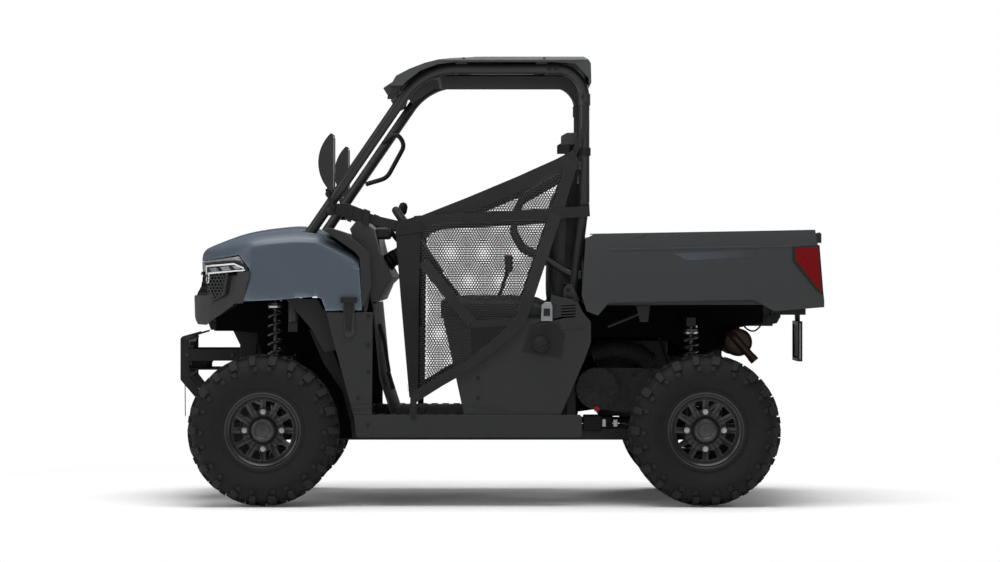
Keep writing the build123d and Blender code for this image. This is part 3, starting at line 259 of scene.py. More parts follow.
HOOD_BLUE = (0.058, 0.075, 0.096)
BOX_GREY = (0.0240, 0.0252, 0.0263)
PLASTIC = {"specular": 0.35, "edge": 0.5}
COATED = {"cells": False, "grain": 900}

MATERIALS = {
    "hood": surface("hood_gloss", HOOD_BLUE, vary=0.05, blotch=2.0, rough=(0.38, 0.46), grain=1400,
                    relief=0.05, specular=0.3, edge=0.3),
    # the roof and the body are one plastic: the roof's copy is painted lighter for the light on its top, the
    # body's darker for its shaded sides
    "roof": surface("roof_top_lit_plastic", (0.034, 0.0352, 0.036), rough=(0.5, 0.62), **PLASTIC),
    "body": surface("body_plastic", (0.0120, 0.0125, 0.0131), rough=(0.55, 0.68), **PLASTIC),
    "trim": surface("trim_plastic", (0.018, 0.0185, 0.020), rough=(0.5, 0.62), **PLASTIC),
    "box": surface("box_plastic", BOX_GREY, rough=(0.5, 0.62), specular=0.35, edge=0.4),
    "stripe": surface("box_stripe", (0.040, 0.050, 0.064), vary=0.04, rough=(0.4, 0.5), relief=0.1),
    "dark": surface("soft_black", (0.008, 0.008, 0.009), rough=(0.6, 0.75), specular=0.25, edge=0.5),
    "liner": surface("liner_black", (0.0022, 0.0022, 0.0024), rough=(0.8, 0.9), specular=0.06, edge=0.2),
    "vinyl": surface("seat_vinyl", (0.013, 0.013, 0.014), vary=0.15, rough=(0.45, 0.58), grain=420,
                     depth=0.0005, relief=0.5, specular=0.35, edge=0.4),
    "frame": surface("frame_coat", (0.0060, 0.0060, 0.0064), rough=(0.42, 0.55), grain=500, cells=False,
                     relief=0.15, specular=0.3, edge=0.8),
    "cage": surface("cage_coat", (0.014, 0.0145, 0.0155), rough=(0.36, 0.46), grain=700, cells=False,
                    relief=0.12, specular=0.4, edge=0.6),
    "rubber": surface("tyre_rubber", (0.0085, 0.0088, 0.0088), vary=0.2, blotch=8.0, rough=(0.72, 0.88),
                      grain=260, cells=False, relief=0.35, depth=0.0005, specular=0.25, edge=0.6),
    "rim": surface("rim_paint", (0.016, 0.0165, 0.0175), rough=(0.34, 0.44), relief=0.06, specular=0.45,
                   coat=0.15, edge=1.0, **COATED),
    "spring": surface("spring_coat", (0.014, 0.014, 0.015), rough=(0.26, 0.36), relief=0.1, specular=0.5,
                      coat=0.3, **COATED),
    "steel": surface("turned_steel", (0.42, 0.42, 0.43), vary=0.1, rough=(0.24, 0.36), relief=0.08,
                     metallic=1.0, **COATED),
    "cast": surface("cast_housing", (0.030, 0.030, 0.031), vary=0.25, blotch=12.0, rough=(0.5, 0.7),
                    grain=350, cells=False, relief=0.45, depth=0.0006, metallic=0.5, edge=0.6),
    "muffler": surface("muffler_steel", (0.050, 0.034, 0.026), vary=0.35, blotch=7.0, rough=(0.42, 0.6),
                       grain=300, cells=False, relief=0.2, metallic=0.8),
    "alloy": surface("pale_alloy", (0.24, 0.255, 0.265), vary=0.08, rough=(0.35, 0.45), grain=600,
                     cells=False, relief=0.2, metallic=0.6),
    "mirror": surface("mirror_glass", (0.85, 0.86, 0.87), vary=0.01, rough=(0.02, 0.04), metallic=1.0,
                      relief=0.0),
    "webbing": woven("net_webbing", (0.012, 0.012, 0.0125)),
    "webbing_flat": surface("net_cloth", (0.010, 0.010, 0.0105), vary=0.3, blotch=14, rough=(0.75, 0.9),
                            grain=420, depth=0.0005, relief=0.7, specular=0.2),
    "strap_red": surface("hook_webbing", (0.36, 0.33, 0.31), vary=0.2, blotch=30, rough=(0.75, 0.9),
                         grain=700, relief=0.5, specular=0.2),
    "mesh": surface("net_mesh", (0.016, 0.016, 0.017), rough=(0.6, 0.75), grain=1500, cells=False),
    "rope": surface("winch_rope", (0.10, 0.12, 0.15), vary=0.4, blotch=300, rough=(0.7, 0.85), relief=0.5,
                    **COATED),
    "lamp_line": surface("lamp_light_guide", (0.80, 0.82, 0.84), vary=0.06, blotch=30, rough=(0.16, 0.24),
                         grain=120, depth=0.0005, relief=0.1, specular=0.6),
    "reflector": surface("lamp_reflector", (0.66, 0.68, 0.70), vary=0.10, blotch=9, rough=(0.10, 0.18),
                         grain=40, depth=0.001, relief=0.06, metallic=0.85),
    "red_lens": surface("tail_lens", (0.145, 0.0006, 0.001), vary=0.12, blotch=20, rough=(0.22, 0.3),
                        grain=90, depth=0.001, relief=0.35, specular=0.12),
    "red_cap": surface("red_plug", (0.35, 0.01, 0.012), vary=0.08, rough=(0.4, 0.5)),
}


# ------------------------------------------------------------------ mesh helpers
def link(obj, body, replaces=()):
    bpy.context.scene.collection.objects.link(obj)
    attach(obj, body)
    if replaces:
        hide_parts(*replaces)
    return obj


def paint(mesh, material):
    """One material and smooth shading."""
    mesh.materials.clear()
    mesh.materials.append(MATERIALS[material])
    for poly in mesh.polygons:
        poly.use_smooth = True


def from_bmesh(name, bm, material, body="chassis", slot=None, replaces=(), sharp=35):
    bmesh.ops.recalc_face_normals(bm, faces=bm.faces)
    mesh = bpy.data.meshes.new(name)
    bm.to_mesh(mesh)
    bm.free()
    paint(mesh, material)
    mesh.set_sharp_from_angle(angle=radians(sharp))
    return link(bpy.data.objects.new(name, mesh), body, replaces)


def modifier(obj, kind, **values):
    made = obj.modifiers.new(kind.lower(), kind)
    for key, value in values.items():
        setattr(made, key, value)
    return made


def bevel(obj, width, segments=2, angle=30):
    modifier(obj, "BEVEL", width=width, segments=segments, limit_method="ANGLE", angle_limit=radians(angle),
             harden_normals=True, miter_outer="MITER_ARC", use_clamp_overlap=True)
    return obj


def dress(node, material, width, angle=35):
    """Gives a CAD node its finish and rounds its edges."""
    obj = NODES[node]
    paint(obj.data, material)
    if "custom_normal" in obj.data.attributes:
        obj.data.attributes.remove(obj.data.attributes["custom_normal"])
    modifier(obj, "WELD", merge_threshold=0.00002)
    if width:
        modifier(obj, "DECIMATE", decimate_type="DISSOLVE", angle_limit=radians(1.0))
        bevel(obj, width, angle=angle)
    else:
        modifier(obj, "EDGE_SPLIT", split_angle=radians(angle))


def aim(direction):
    return Vector(direction).normalized().to_track_quat("Z", "Y").to_matrix().to_4x4()


def ring_points(middle, r, steps, turn=0.0):
    """Points of (across, along) evenly round a circle."""
    angles = [turn + 2 * pi * k / steps for k in range(steps)]
    return [(middle[0] + r * cos(a), middle[1] + r * sin(a)) for a in angles]


def curve_tube(name, points, radius, material, body="chassis", bend=0.0, cyclic=False,
               resolution=6):
    """A round tube along straight runs, rounded at the corners when bend is given."""
    pts = [Vector(p) for p in points]
    if bend:
        smooth = [pts[0]]
        for a, b, c in zip(pts, pts[1:], pts[2:]):
            cut = min(bend, (b - a).length * 0.48, (c - b).length * 0.48)
            start, end = b + (a - b).normalized() * cut, b + (c - b).normalized() * cut
            for i in range(9):
                t = i / 8
                smooth.append(start * (1 - t) ** 2 + b * 2 * t * (1 - t) + end * t * t)
        pts = smooth + [pts[-1]]
    data = bpy.data.curves.new(name, "CURVE")
    data.dimensions = "3D"
    data.bevel_depth = radius
    data.bevel_resolution = resolution
    data.use_fill_caps = True
    spline = data.splines.new("POLY")
    spline.points.add(len(pts) - 1)
    for point, p in zip(spline.points, pts):
        point.co = (*p, 1)
    spline.use_cyclic_u = cyclic
    spline.use_smooth = True
    data.materials.append(MATERIALS[material])
    return link(bpy.data.objects.new(name, data), body)


def dense(points, step=0.03):
    """The same path with points every few centimetres."""
    pts = [Vector(p) for p in points]
    out = pts[:1]
    for a, b in zip(pts, pts[1:]):
        n = max(1, round((b - a).length / step))
        out += [a.lerp(b, i / n) for i in range(1, n + 1)]
    return out


def join_rings(bm, rings):
    """Walls from each ring of vertices to the next."""
    walls = []
    for a, b in zip(rings, rings[1:]):
        for i in range(len(a)):
            j = (i + 1) % len(a)
            walls.append(bm.faces.new((a[i], a[j], b[j], b[i])))
    return walls


def loft(bm, rings, closed=False):
    """Rings of points skinned over, with end caps, or closed on themselves."""
    made = [[bm.verts.new(p) for p in ring] for ring in rings]
    if closed:
        return join_rings(bm, made + made[:1])
    walls = join_rings(bm, made)
    bm.faces.new(made[0])
    bm.faces.new(list(reversed(made[-1])))
    return walls


def ribbon(bm, uv_layer, path, width, normal, thick=0.0025):
    """A flat strap along a path: width lies across the path, in the plane whose normal is given."""
    pts = [Vector(p) for p in path]
    n = Vector(normal).normalized()
    rings = []
    runs = [0.0]
    for i, p in enumerate(pts):
        ahead = pts[min(i + 1, len(pts) - 1)] - pts[max(i - 1, 0)]
        side = n.cross(ahead).normalized() * width / 2
        rings.append([p + side * s + n * thick * h for s, h in ((-1, -0.5), (1, -0.5), (1, 0.5), (-1, 0.5))])
        if i:
            runs.append(runs[-1] + (p - pts[i - 1]).length)
    for k, face in enumerate(loft(bm, rings)):
        i = k % 4
        start, end = runs[k // 4], runs[k // 4 + 1]
        for loop, (u, v) in zip(face.loops, ((i, start), (i + 1, start), (i + 1, end), (i, end))):
            loop[uv_layer].uv = (width if i in (0, 2) and u % 2 == 0 else 0.0, v)


def strap_object(name, straps, material="webbing"):
    """Several straps in one mesh; each is (path, width, normal)."""
    bm = bmesh.new()
    uv_layer = bm.loops.layers.uv.new("UVMap")
    for path, width, normal in straps:
        ribbon(bm, uv_layer, path, width, normal)
    return bevel(from_bmesh(name, bm, material, sharp=50), 0.0006, 1, 60)


BOX_FACES = ((0, 1, 3, 2), (4, 6, 7, 5), (0, 4, 5, 1), (2, 3, 7, 6), (0, 2, 6, 4), (1, 5, 7, 3))


def add_faces(bm, verts, faces, matrix=None):
    made = [bm.verts.new(v) for v in verts]
    for f in faces:
        bm.faces.new([made[i] for i in f])
    if matrix:
        bmesh.ops.transform(bm, matrix=matrix, verts=made)
    return made


def add_block(bm, lo, hi, matrix=None):
    corners = [(x, y, z) for x in (lo[0], hi[0]) for y in (lo[1], hi[1]) for z in (lo[2], hi[2])]
    return add_faces(bm, corners, BOX_FACES, matrix)


def add_prism(bm, outline, y0, y1):
    """A side-view outline of (x, z) between two y planes."""
    near, far = [[bm.verts.new((x, y, z)) for x, z in outline] for y in (y0, y1)]
    bm.faces.new(near)
    bm.faces.new(list(reversed(far)))
    join_rings(bm, [far, near])


def add_spun(bm, profile, steps=96, matrix=None):
    """A profile of (radius, height) turned about Z."""
    angles = [2 * pi * i / steps for i in range(steps)]
    verts = [(r * cos(a), r * sin(a), z) for a in angles for r, z in profile]
    n = len(profile)
    faces = []
    for i in range(steps):
        for a in range(i * n, i * n + n - 1):
            b = (a + n) % (steps * n)
            faces.append((a, b, b + 1, a + 1))
    return add_faces(bm, verts, faces, matrix)


def add_cylinder(bm, matrix, depth, r, top=None, segments=36):
    """A round or many-sided post about the matrix's Z, its middle at the matrix's place."""
    bmesh.ops.create_cone(bm, cap_ends=True, segments=segments, radius1=r, radius2=r if top is None else top,
                          depth=depth, matrix=matrix)


def add_bolt(bm, at, direction, r):
    """Hexagon head on a washer, standing out along direction."""
    m = Matrix.Translation(at) @ aim(direction)
    height = r * 0.75
    add_cylinder(bm, m @ Matrix.Translation((0, 0, 0.001)), 0.0022, r * 1.45, r * 1.4, 16)
    add_cylinder(bm, m @ Matrix.Translation((0, 0, 0.002 + height / 2)), height, r, r * 0.93, 6)


def bolts(name, places, r=0.007, material="frame", slot="frame_paint"):
    bm = bmesh.new()
    for at, direction in places:
        add_bolt(bm, at, direction, r)
    return bevel(from_bmesh(name, bm, material, slot=slot), 0.0006, 1, 40)


def slab(name, outline, y0, y1, material, side=1, edge=0.002, segments=2, **where):
    """A side-view outline between two distances from the middle plane, with rounded edges."""
    bm = bmesh.new()
    add_prism(bm, outline, side * y0, side * y1)
    return bevel(from_bmesh(name, bm, material, **where), edge, segments)


def pair(name, y0, y1, material, end="", outline=None, **more):
    """The same slab on both sides; its outline is the photograph's of that name unless one is given."""
    for side, hand in SIDES:
        slab(f"{name}_{hand}{end}", outline or photo(name + end), y0, y1, material, side, **more)


def blocks(name, boxes, material, edge=0.002, **where):
    """Several rounded blocks in one piece, each (lowest corner, highest corner)."""
    bm = bmesh.new()
    for lo, hi in boxes:
        add_block(bm, lo, hi)
    return bevel(from_bmesh(name, bm, material, **where), edge)


def turned(name, profile, at, direction, material, steps=48, **where):
    """A turned piece from a (radius, height) profile, standing at a point along a direction."""
    bm = bmesh.new()
    add_spun(bm, profile, steps, Matrix.Translation(at) @ aim(direction))
    return from_bmesh(name, bm, material, sharp=40, **where)


def spaced(start, pitch, count):
    return [start + pitch * k for k in range(count)]


def helix(matrix, r, count, per_turn, pitch, start=0.0):
    """Points round a coil about the matrix's Z; pitch is the rise of one turn."""
    angles = [2 * pi * i / per_turn for i in range(count)]
    return [matrix @ Vector((r * cos(a), r * sin(a), start + pitch * i / per_turn))
            for i, a in enumerate(angles)]


def mirrored_box(lo, hi, side):
    """The block's corners with y on the given side."""
    ys = sorted((side * lo[1], side * hi[1]))
    return (lo[0], ys[0], lo[2]), (hi[0], ys[1], hi[2])


def apply_modifiers(obj):
    """Turns an object's evaluated shape into its own mesh."""
    graph = bpy.context.evaluated_depsgraph_get()
    mesh = bpy.data.meshes.new_from_object(obj.evaluated_get(graph))
    obj.modifiers.clear()
    obj.data = mesh
    return obj


# ------------------------------------------------------------------ wheels
LUG_PITCHES = 22
RIM_WINDOWS = 12
# (radius, height over the disc)
HUB_CAP = ((0.0485, -0.004), (0.0480, 0.012), (0.0460, 0.020), (0.0410, 0.0235), (0.0350, 0.0240),
           (0.0325, 0.0215), (0.0310, 0.0205), (0.0220, 0.0215), (0.0, 0.0225))
# washer, hexagon and stud: (sides, lower radius, upper radius, depth, height of the middle)
WHEEL_NUT = ((24, 0.0125, 0.0115, 0.003, 0.0015), (6, 0.0098, 0.0088, 0.012, 0.009),
             (24, 0.0060, 0.0056, 0.004, 0.017))
NUT_CIRCLE_R = 0.078


def tyre_profile(half, seat):
    """(radius, height) from the outer bead over the crown to the inner bead."""
    wall = [(BEAD_R, 0.0), (0.158, 0.003), (0.163, 0.010), (0.170, 0.012), (0.178, 0.009), (0.190, 0.014)]
    tread = [(0.210, 0.006), (0.232, 0.0005), (0.250, 0.001), (0.268, 0.007), (0.284, 0.017), (0.295, 0.031),
             (0.302, 0.050), (0.305, 0.075)]
    outer = [(r, seat + z) for r, z in wall] + [(r, half - z) for r, z in tread] + [(0.3065, 0.0)]
    return outer + [(r, -z) for r, z in reversed(outer[:-1])]


def profile_point(profile, s):
    """Point and outward normal at arc length s from the crown's middle, outwards positive."""
    side = 1 if s >= 0 else -1
    left = abs(s)
    i = len(profile) // 2
    while True:
        j = i - side
        a, b = Vector(profile[i]), Vector(profile[j])
        run = (b - a).length
        if left <= run or j in (0, len(profile) - 1):
            t = (b - a).normalized()
            return a.lerp(b, left / run), Vector((t.y, -t.x)) * side
        left -= run
        i = j


def add_lug(bm, profile, stations, height=0.0135, taper=0.86):
    """A tread block that follows the carcass: stations are (s, first angle, last angle)."""
    rings = []
    for s, a0, a1 in stations:
        p, n = profile_point(profile, s)
        mid, half = (a0 + a1) / 2, (a1 - a0) / 2
        quad = []
        for point, share in ((p - n * 0.003, 1.0), (p + n * height, taper)):
            for sign in (-1, 1):
                a = mid + sign * half * share
                quad.append((point.x * cos(a), point.x * sin(a), point.y))
        rings.append((quad[0], quad[1], quad[3], quad[2]))
    loft(bm, rings)


def add_lugs(bm, profile, reach, i):
    """The blocks of one pitch: shoulders, sidewalls and between on both sides, and one in the middle."""
    pitch = 2 * pi / LUG_PITCHES
    odd = i % 2
    for side, shift in ((1, 0.0), (-1, 0.5)):
        mid = (i + shift) * pitch
        wide = 0.066 if odd else 0.050
        add_lug(bm, profile, [
            (side * (reach - 0.040), mid - wide, mid + wide * 0.8),
            (side * (reach - 0.008), mid - wide, mid + wide),
            (side * (reach + 0.010), mid - wide * 0.85, mid + wide * 0.9),
        ])
        low = 0.046 if odd else 0.040
        mid_low = mid + (0.035 if odd else -0.030)
        add_lug(bm, profile, [
            (side * (reach + 0.016), mid_low - low, mid_low + low),
            (side * (reach + 0.034), mid_low - low * 0.9, mid_low + low * 0.8),
        ], 0.0075, 0.8)
        add_lug(bm, profile, [
            (side * (reach - inset), mid + pitch * share, mid + pitch * share + 0.085)
            for inset, share in ((0.078, 0.30), (0.048, 0.36))
        ])
    lean = 0.05 if odd else -0.05
    mid = i * pitch
    add_lug(bm, profile, [
        (s, mid - 0.055 + turn, mid + 0.055 + turn)
        for s, turn in ((-0.022, -lean), (0.022, lean))
    ])


def make_tyre_mesh(half, half_rim):
    profile = tyre_profile(half, half_rim - 0.006)
    bm = bmesh.new()
    for i in range(LUG_PITCHES):
        add_lugs(bm, profile, half * 0.93, i)
    bmesh.ops.bevel(bm, geom=[e for e in bm.edges if e.calc_face_angle(0) > radians(40)], offset=0.0018,
                    segments=1, affect="EDGES")
    skin = []
    for a, b in zip(profile, profile[1:]):
        skin += [a, ((a[0] + b[0]) / 2, (a[1] + b[1]) / 2)]
    skin.append(profile[-1])
    lining = [(r - 0.012, z * 0.9) for r, z in reversed(profile[5:-5])]
    carcass = add_spun(bm, skin + lining + [skin[0]], 120)
    bmesh.ops.remove_doubles(bm, verts=carcass, dist=0.00005)
    return bm


def make_rim_mesh(half, disc):
    bm = bmesh.new()
    # outer flange, well and inner flange, then back along the inside of the barrel
    add_spun(bm, [
        (0.1340, disc + 0.004), (0.1365, disc + 0.010), (0.1385, half - 0.014), (0.1440, half - 0.010),
        (0.1480, half - 0.007), (0.1500, half - 0.010), (0.1525, half - 0.009), (0.1545, half - 0.002),
        (0.1600, half), (0.1650, half - 0.0005), (0.1675, half - 0.003), (0.1675, half - 0.006),
        (0.1540, half - 0.009), (0.1520, half - 0.016), (0.1500, half - 0.040), (0.1390, half - 0.060),
        (0.1390, 0.030 - half), (0.1524, 0.012 - half), (0.1540, 0.006 - half), (0.1675, 0.004 - half),
        (0.1675, -half), (0.1620, -half), (0.1480, 0.010 - half), (0.1350, 0.030 - half),
        (0.1350, disc - 0.010), (0.1340, disc + 0.004),
    ], 120)
    # pierced disc: rings of (radius, height), windows left out of the middle band
    rings = ((0.030, 0.006), (0.052, 0.004), (0.060, -0.006), (0.088, -0.007), (0.092, -0.004),
             (0.124, 0.001), (0.129, 0.005), (0.136, 0.006))
    narrow, wide = 0.115, 0.170
    edge = pi / RIM_WINDOWS
    grid = []
    for r, z in rings:
        gap = min(max(narrow + (wide - narrow) * (r - 0.088) / 0.036, narrow), wide)
        offsets = (-edge, -gap, -gap * 0.72, -gap * 0.25, gap * 0.25, gap * 0.72, gap, (gap + edge) / 2)
        middles = [2 * pi * (sector + 0.5) / RIM_WINDOWS for sector in range(RIM_WINDOWS)]
        angles = [middle + turn for middle in middles for turn in offsets]
        grid.append([bm.verts.new((r * cos(a), r * sin(a), disc + z)) for a in angles])
    faces = []
    for j, (low, high) in enumerate(zip(grid, grid[1:])):
        for i in range(len(low)):
            n = (i + 1) % len(low)
            if j not in (3, 4) or i % len(offsets) not in range(1, 6):
                faces.append(bm.faces.new((low[i], low[n], high[n], high[i])))
    bmesh.ops.solidify(bm, geom=faces, thickness=0.008)
    return bm


def make_nuts(disc):
    bm = bmesh.new()
    for x, y in ring_points((0, 0), NUT_CIRCLE_R, 4):
        for sides, low, top, depth, z in WHEEL_NUT:
            add_cylinder(bm, Matrix.Translation((x, y, disc - 0.006 + z)), depth, low, top, sides)
    return bm


def build_wheels():
    for axle, (x, y, half, half_rim) in WHEELS.items():
        disc = half_rim - RIM_DISC_INSET
        for side, hand in SIDES:
            end = f"{axle}_{hand}"
            place = Matrix.Translation((x, side * y, AXLE_Z)) @ Matrix.Rotation(radians(-90 * side), 4, "X")
            cap = bmesh.new()
            add_spun(cap, [(r, disc + z) for r, z in HUB_CAP], 64)
            pieces = (
                ("tyre_tread", make_tyre_mesh(half, half_rim), "rubber", None, (f"tyre_{end}",), 38),
                ("wheel_disc", make_rim_mesh(half_rim, disc), "rim", None, (f"rim_{end}",), 40),
                ("hub_cap", cap, "rim", None, (), 35),
                ("wheel_nuts", make_nuts(disc), "steel", "shaft_steel", (), 35),
            )
            for name, bm, material, slot, replaced, sharp in pieces:
                bmesh.ops.transform(bm, matrix=place, verts=bm.verts)
                obj = from_bmesh(f"{name}_{end}", bm, material, f"wheel_{end}", slot, replaced, sharp)
                if name == "wheel_disc":
                    bevel(obj, 0.0012, 2, 50)


# ------------------------------------------------------------------ springs and shocks
COIL_R = 0.0285
COIL_WIRE_R = 0.0060
COIL_TURNS = 8.5
COIL_STEPS = 20
COIL_POINTS = round(COIL_TURNS * COIL_STEPS) + 1


def build_springs():
    for axle, (x, ty, tz, ly, lz) in SHOCKS.items():
        for side, hand in SIDES:
            top, low = Vector((x, side * ty, tz)), Vector((x, side * ly, lz))
            start, end = top.lerp(low, 0.055), top.lerp(low, 0.595)
            place = Matrix.Translation(start) @ aim(end - start)
            coil = helix(place, COIL_R, COIL_POINTS, COIL_STEPS, (end - start).length / COIL_TURNS)
            spring = curve_tube(f"coil_{axle}_{hand}", coil, COIL_WIRE_R, "spring", resolution=4)
            if axle == "front" and hand == "left":
                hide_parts("coil_springs")


def build_shock_details():
    cap = [(0.012, 0.0), (0.033, 0.0), (0.035, 0.004), (0.033, 0.012), (0.020, 0.018)]
    ring = [(0.020, 0.0), (0.034, 0.003), (0.036, 0.008), (0.034, 0.016), (0.024, 0.018)]
    places = []
    for axle, (x, ty, tz, ly, lz) in SHOCKS.items():
        for side, hand in SIDES:
            top, low = Vector((x, side * ty, tz)), Vector((x, side * ly, lz))
            for name, profile, share in (("cap", cap, 0.035), ("ring", ring, 0.60)):
                turned(f"shock_{name}_{axle}_{hand}", profile, top.lerp(low, share), low - top, "steel",
                       slot="spring_steel")
            places.append(((x + 0.020, side * ty, tz), (1, 0, 0)))
    bolts("shock_bolts", places, 0.008, "steel", "bright_metal")


# ------------------------------------------------------------------ finishes of the CAD nodes
DRESS = {
    # finish: node and edge rounding
    "frame": {"lower_rails": 0.003, "upper_rails": 0.003, "uprights": 0.003, "crossmembers": 0.003,
              "floor_bearers": 0.002, "frame_brackets": 0.001, "hitch_receiver": 0.0015, "suspension_arms": 0,
              "tie_rods": 0, "front_bumper": 0.001, "box_underframe": 0.002},
    "cast": {"rear_carriers": 0.003, "knuckle_left": 0.004, "knuckle_right": 0.004, "gearcases": 0.005,
             "rack_housing": 0, "engine_block": 0.012, "winch": 0.003},
    "spring": {"shocks": 0},
    "dark": {"drive_shafts": 0, "steering_wheel": 0.002, "controls": 0.0015, "grille": 0},
    "trim": {"steering_column": 0.002, "clutch_cover": 0.006, "dashboard": 0.006, "front_fascia": 0.004},
    "muffler": {"muffler": 0},
    "body": {"floor_pan": 0.003, "front_side_panels": 0.003, "seat_box": 0.004, "cowl": 0.004,
             "side_mirrors": 0.004},
    # the roof gets the body's plastic painted lighter for the light on its top
    "roof": {"roof": 0.008},
    "cage": {"cage_front_tubes": 0, "cage_rear_tubes": 0, "cage_cross_tubes": 0, "restraint_bars": 0},
    "reflector": {"headlamps": 0.002},
    "alloy": {"fairlead": 0.003},
    "box": {"cargo_tub": 0.005, "tailgate": 0.005},
    "red_lens": {"tail_lamps": 0.001},
}


def dress_nodes():
    for material, nodes in DRESS.items():
        for node, width in nodes.items():
            dress(node, material, width)


# ------------------------------------------------------------------ side nets
# height, distance from the middle plane
NET_STATIONS = ((0.30, 0.692), (0.88, 0.692), (1.26, 0.592), (1.51, 0.574))
NET_STRAPS = (
    # outline, width, lift off the net
    ("net_top", 0.062, 0.0005),
    ("net_middle", 0.044, 0.0030),
    ("net_rear", 0.048, 0.0015),
    ("net_slant", 0.044, 0.0010),
    ("net_low", 0.044, 0.0020),
    ("net_foot", 0.027, 0.0005),
    ("net_cross", 0.030, 0.0005),
)
NET_HANGER = ((0.315, 0.572, 1.455), (0.345, 0.578, 1.53), (0.372, 0.572, 1.60), (0.380, 0.572, 1.68))
STITCHED = ((-0.380, 1.170), (-0.360, 0.50), (-0.352, 0.395))
STITCH_HALF = 0.013
MESH_PITCH = 0.0118
MESH_STRAND = 0.0030


def along(stations, at):
    """Distance from the middle plane at a place along stations of (place, distance)."""
    for (a, y0), (b, y1) in zip(stations, stations[1:]):
        if at <= b:
            return y0 + (y1 - y0) * max(0.0, at - a) / (b - a)
    return stations[-1][1]


def net_y(z):
    return along(NET_STATIONS, z)


def inside(x, z, region):
    hit = False
    for (x0, z0), (x1, z1) in zip(region, region[1:] + region[:1]):
        if (z0 > z) != (z1 > z) and x < x0 + (x1 - x0) * (z - z0) / (z1 - z0):
            hit = not hit
    return hit


def add_hexagons(bm, region, pitch, strand, start, rows, columns):
    """Flat rings of hexagonal cells wherever a cell's middle is inside the region."""
    outer = pitch / sqrt(3)
    radii = (outer, outer - strand / 2 / cos(radians(30)))
    for row in range(rows):
        z = start[1] + row * pitch * cos(radians(30))
        for column in range(columns):
            x = start[0] + (column + row % 2 / 2) * pitch
            if inside(x, z, region):
                join_rings(bm, [[bm.verts.new((x + r * sin(pi / 3 * k), 0, z + r * cos(pi / 3 * k)))
                                 for k in range(6)] for r in radii])
    bmesh.ops.remove_doubles(bm, verts=bm.verts, dist=0.0001)


def net_lattice(name, side):
    """Hexagonal mesh cloth over the middle of the net, with a slight sway."""
    bm = bmesh.new()
    add_hexagons(bm, photo("net_region"), MESH_PITCH, MESH_STRAND, (-0.345, 0.50), 110, 64)
    for v in bm.verts:
        sway = 0.0015 * sin(v.co.x * 23) * sin(v.co.z * 17)
        v.co.y = side * (net_y(v.co.z) - 0.0015 + sway)
    obj = from_bmesh(name, bm, "mesh", sharp=80)
    modifier(obj, "SOLIDIFY", thickness=0.0014, offset=0.0)
    return obj


def net_panel(bm, outline, side, lift):
    """A flat piece of cloth laid on the net's surface."""
    made = bm.faces.new([bm.verts.new((x, 0, z)) for x, z in outline])
    geom = [made] + list(made.edges) + list(made.verts)
    for z in (0.70, 0.88, 1.0, 1.13, 1.26):
        geom = bmesh.ops.bisect_plane(bm, geom=geom, plane_co=(0, 0, z), plane_no=(0, 0, 1))["geom"]
    for v in {v for item in geom if isinstance(item, bmesh.types.BMFace) for v in item.verts}:
        v.co.y = side * (net_y(v.co.z) + lift)


def net_webs(name, side):
    """The straps on the net, the one to the front pillar and the one that hangs from the rear pillar."""
    straps = []
    for outline, width, lift in NET_STRAPS:
        path = dense([(x, 0, z) for x, z in photo(outline)], 0.025)
        path = [Vector((p.x, side * (net_y(p.z) + lift), p.z)) for p in path]
        straps.append((path, width, (0, side, 0)))
    front = [(x, side * 0.600, z) for x, z in photo("net_front")]
    hanger = [(x, side * y, z) for x, y, z in NET_HANGER]
    straps += [(dense(front), 0.040, (0, side, 0)), (dense(hanger), 0.022, (0, side, 0))]
    return strap_object(name, straps)


def net_stitches(name, side):
    """Crossed squares of thread where straps are sewn together."""
    bm = bmesh.new()
    for x, z in STITCHED:
        y = side * (net_y(z) + 0.0052)
        a, b, c, d = [Vector((x + STITCH_HALF * u, y, z + STITCH_HALF * v))
                      for u, v in ((-1, -1), (1, -1), (1, 1), (-1, 1))]
        for start, end in ((a, b), (b, c), (c, d), (d, a), (a, c), (b, d)):
            run = end - start
            for k in range(6):
                middle = start + run * (k + 0.5) / 6
                add_cylinder(bm, Matrix.Translation(middle) @ aim(run), run.length / 9, 0.0006, segments=6)
    from_bmesh(name, bm, "trim", slot="net_webbing")


def build_nets():
    for side, hand in SIDES:
        webs = net_webs(f"net_straps_{hand}", side)
        if side < 0:
            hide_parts("side_nets")
        bm = bmesh.new()
        for outline, lift in (("cloth_front", 0.0015), ("cloth_low", -0.0005), ("cloth_corner", 0.0035)):
            net_panel(bm, photo(outline), side, lift)
        cloth = from_bmesh(f"net_cloth_{hand}", bm, "webbing_flat", sharp=60)
        modifier(cloth, "SOLIDIFY", thickness=0.0026, offset=0.0)
        bevel(cloth, 0.0008, 1, 60)
        lattice = net_lattice(f"net_mesh_{hand}", side)
        bm = bmesh.new()
        for z, x, height in ((1.492, 0.371, 0.034), (1.245, 0.366, 0.050)):
            add_cylinder(bm, Matrix.Translation((x, side * CAGE_Y, z)), height, CAGE_R + 0.003)
        wrap = from_bmesh(f"net_wraps_{hand}", bm, "webbing_flat")
        bevel(wrap, 0.001, 1, 50)
        net_stitches(f"net_stitches_{hand}", side)
    # plastic clip on the front strap, in three steps
    for k in range(3):
        pair("net_clip", 0.590, 0.611 + 0.004 * k, "dark", f"_{k}", slot="net_webbing", edge=0.003)


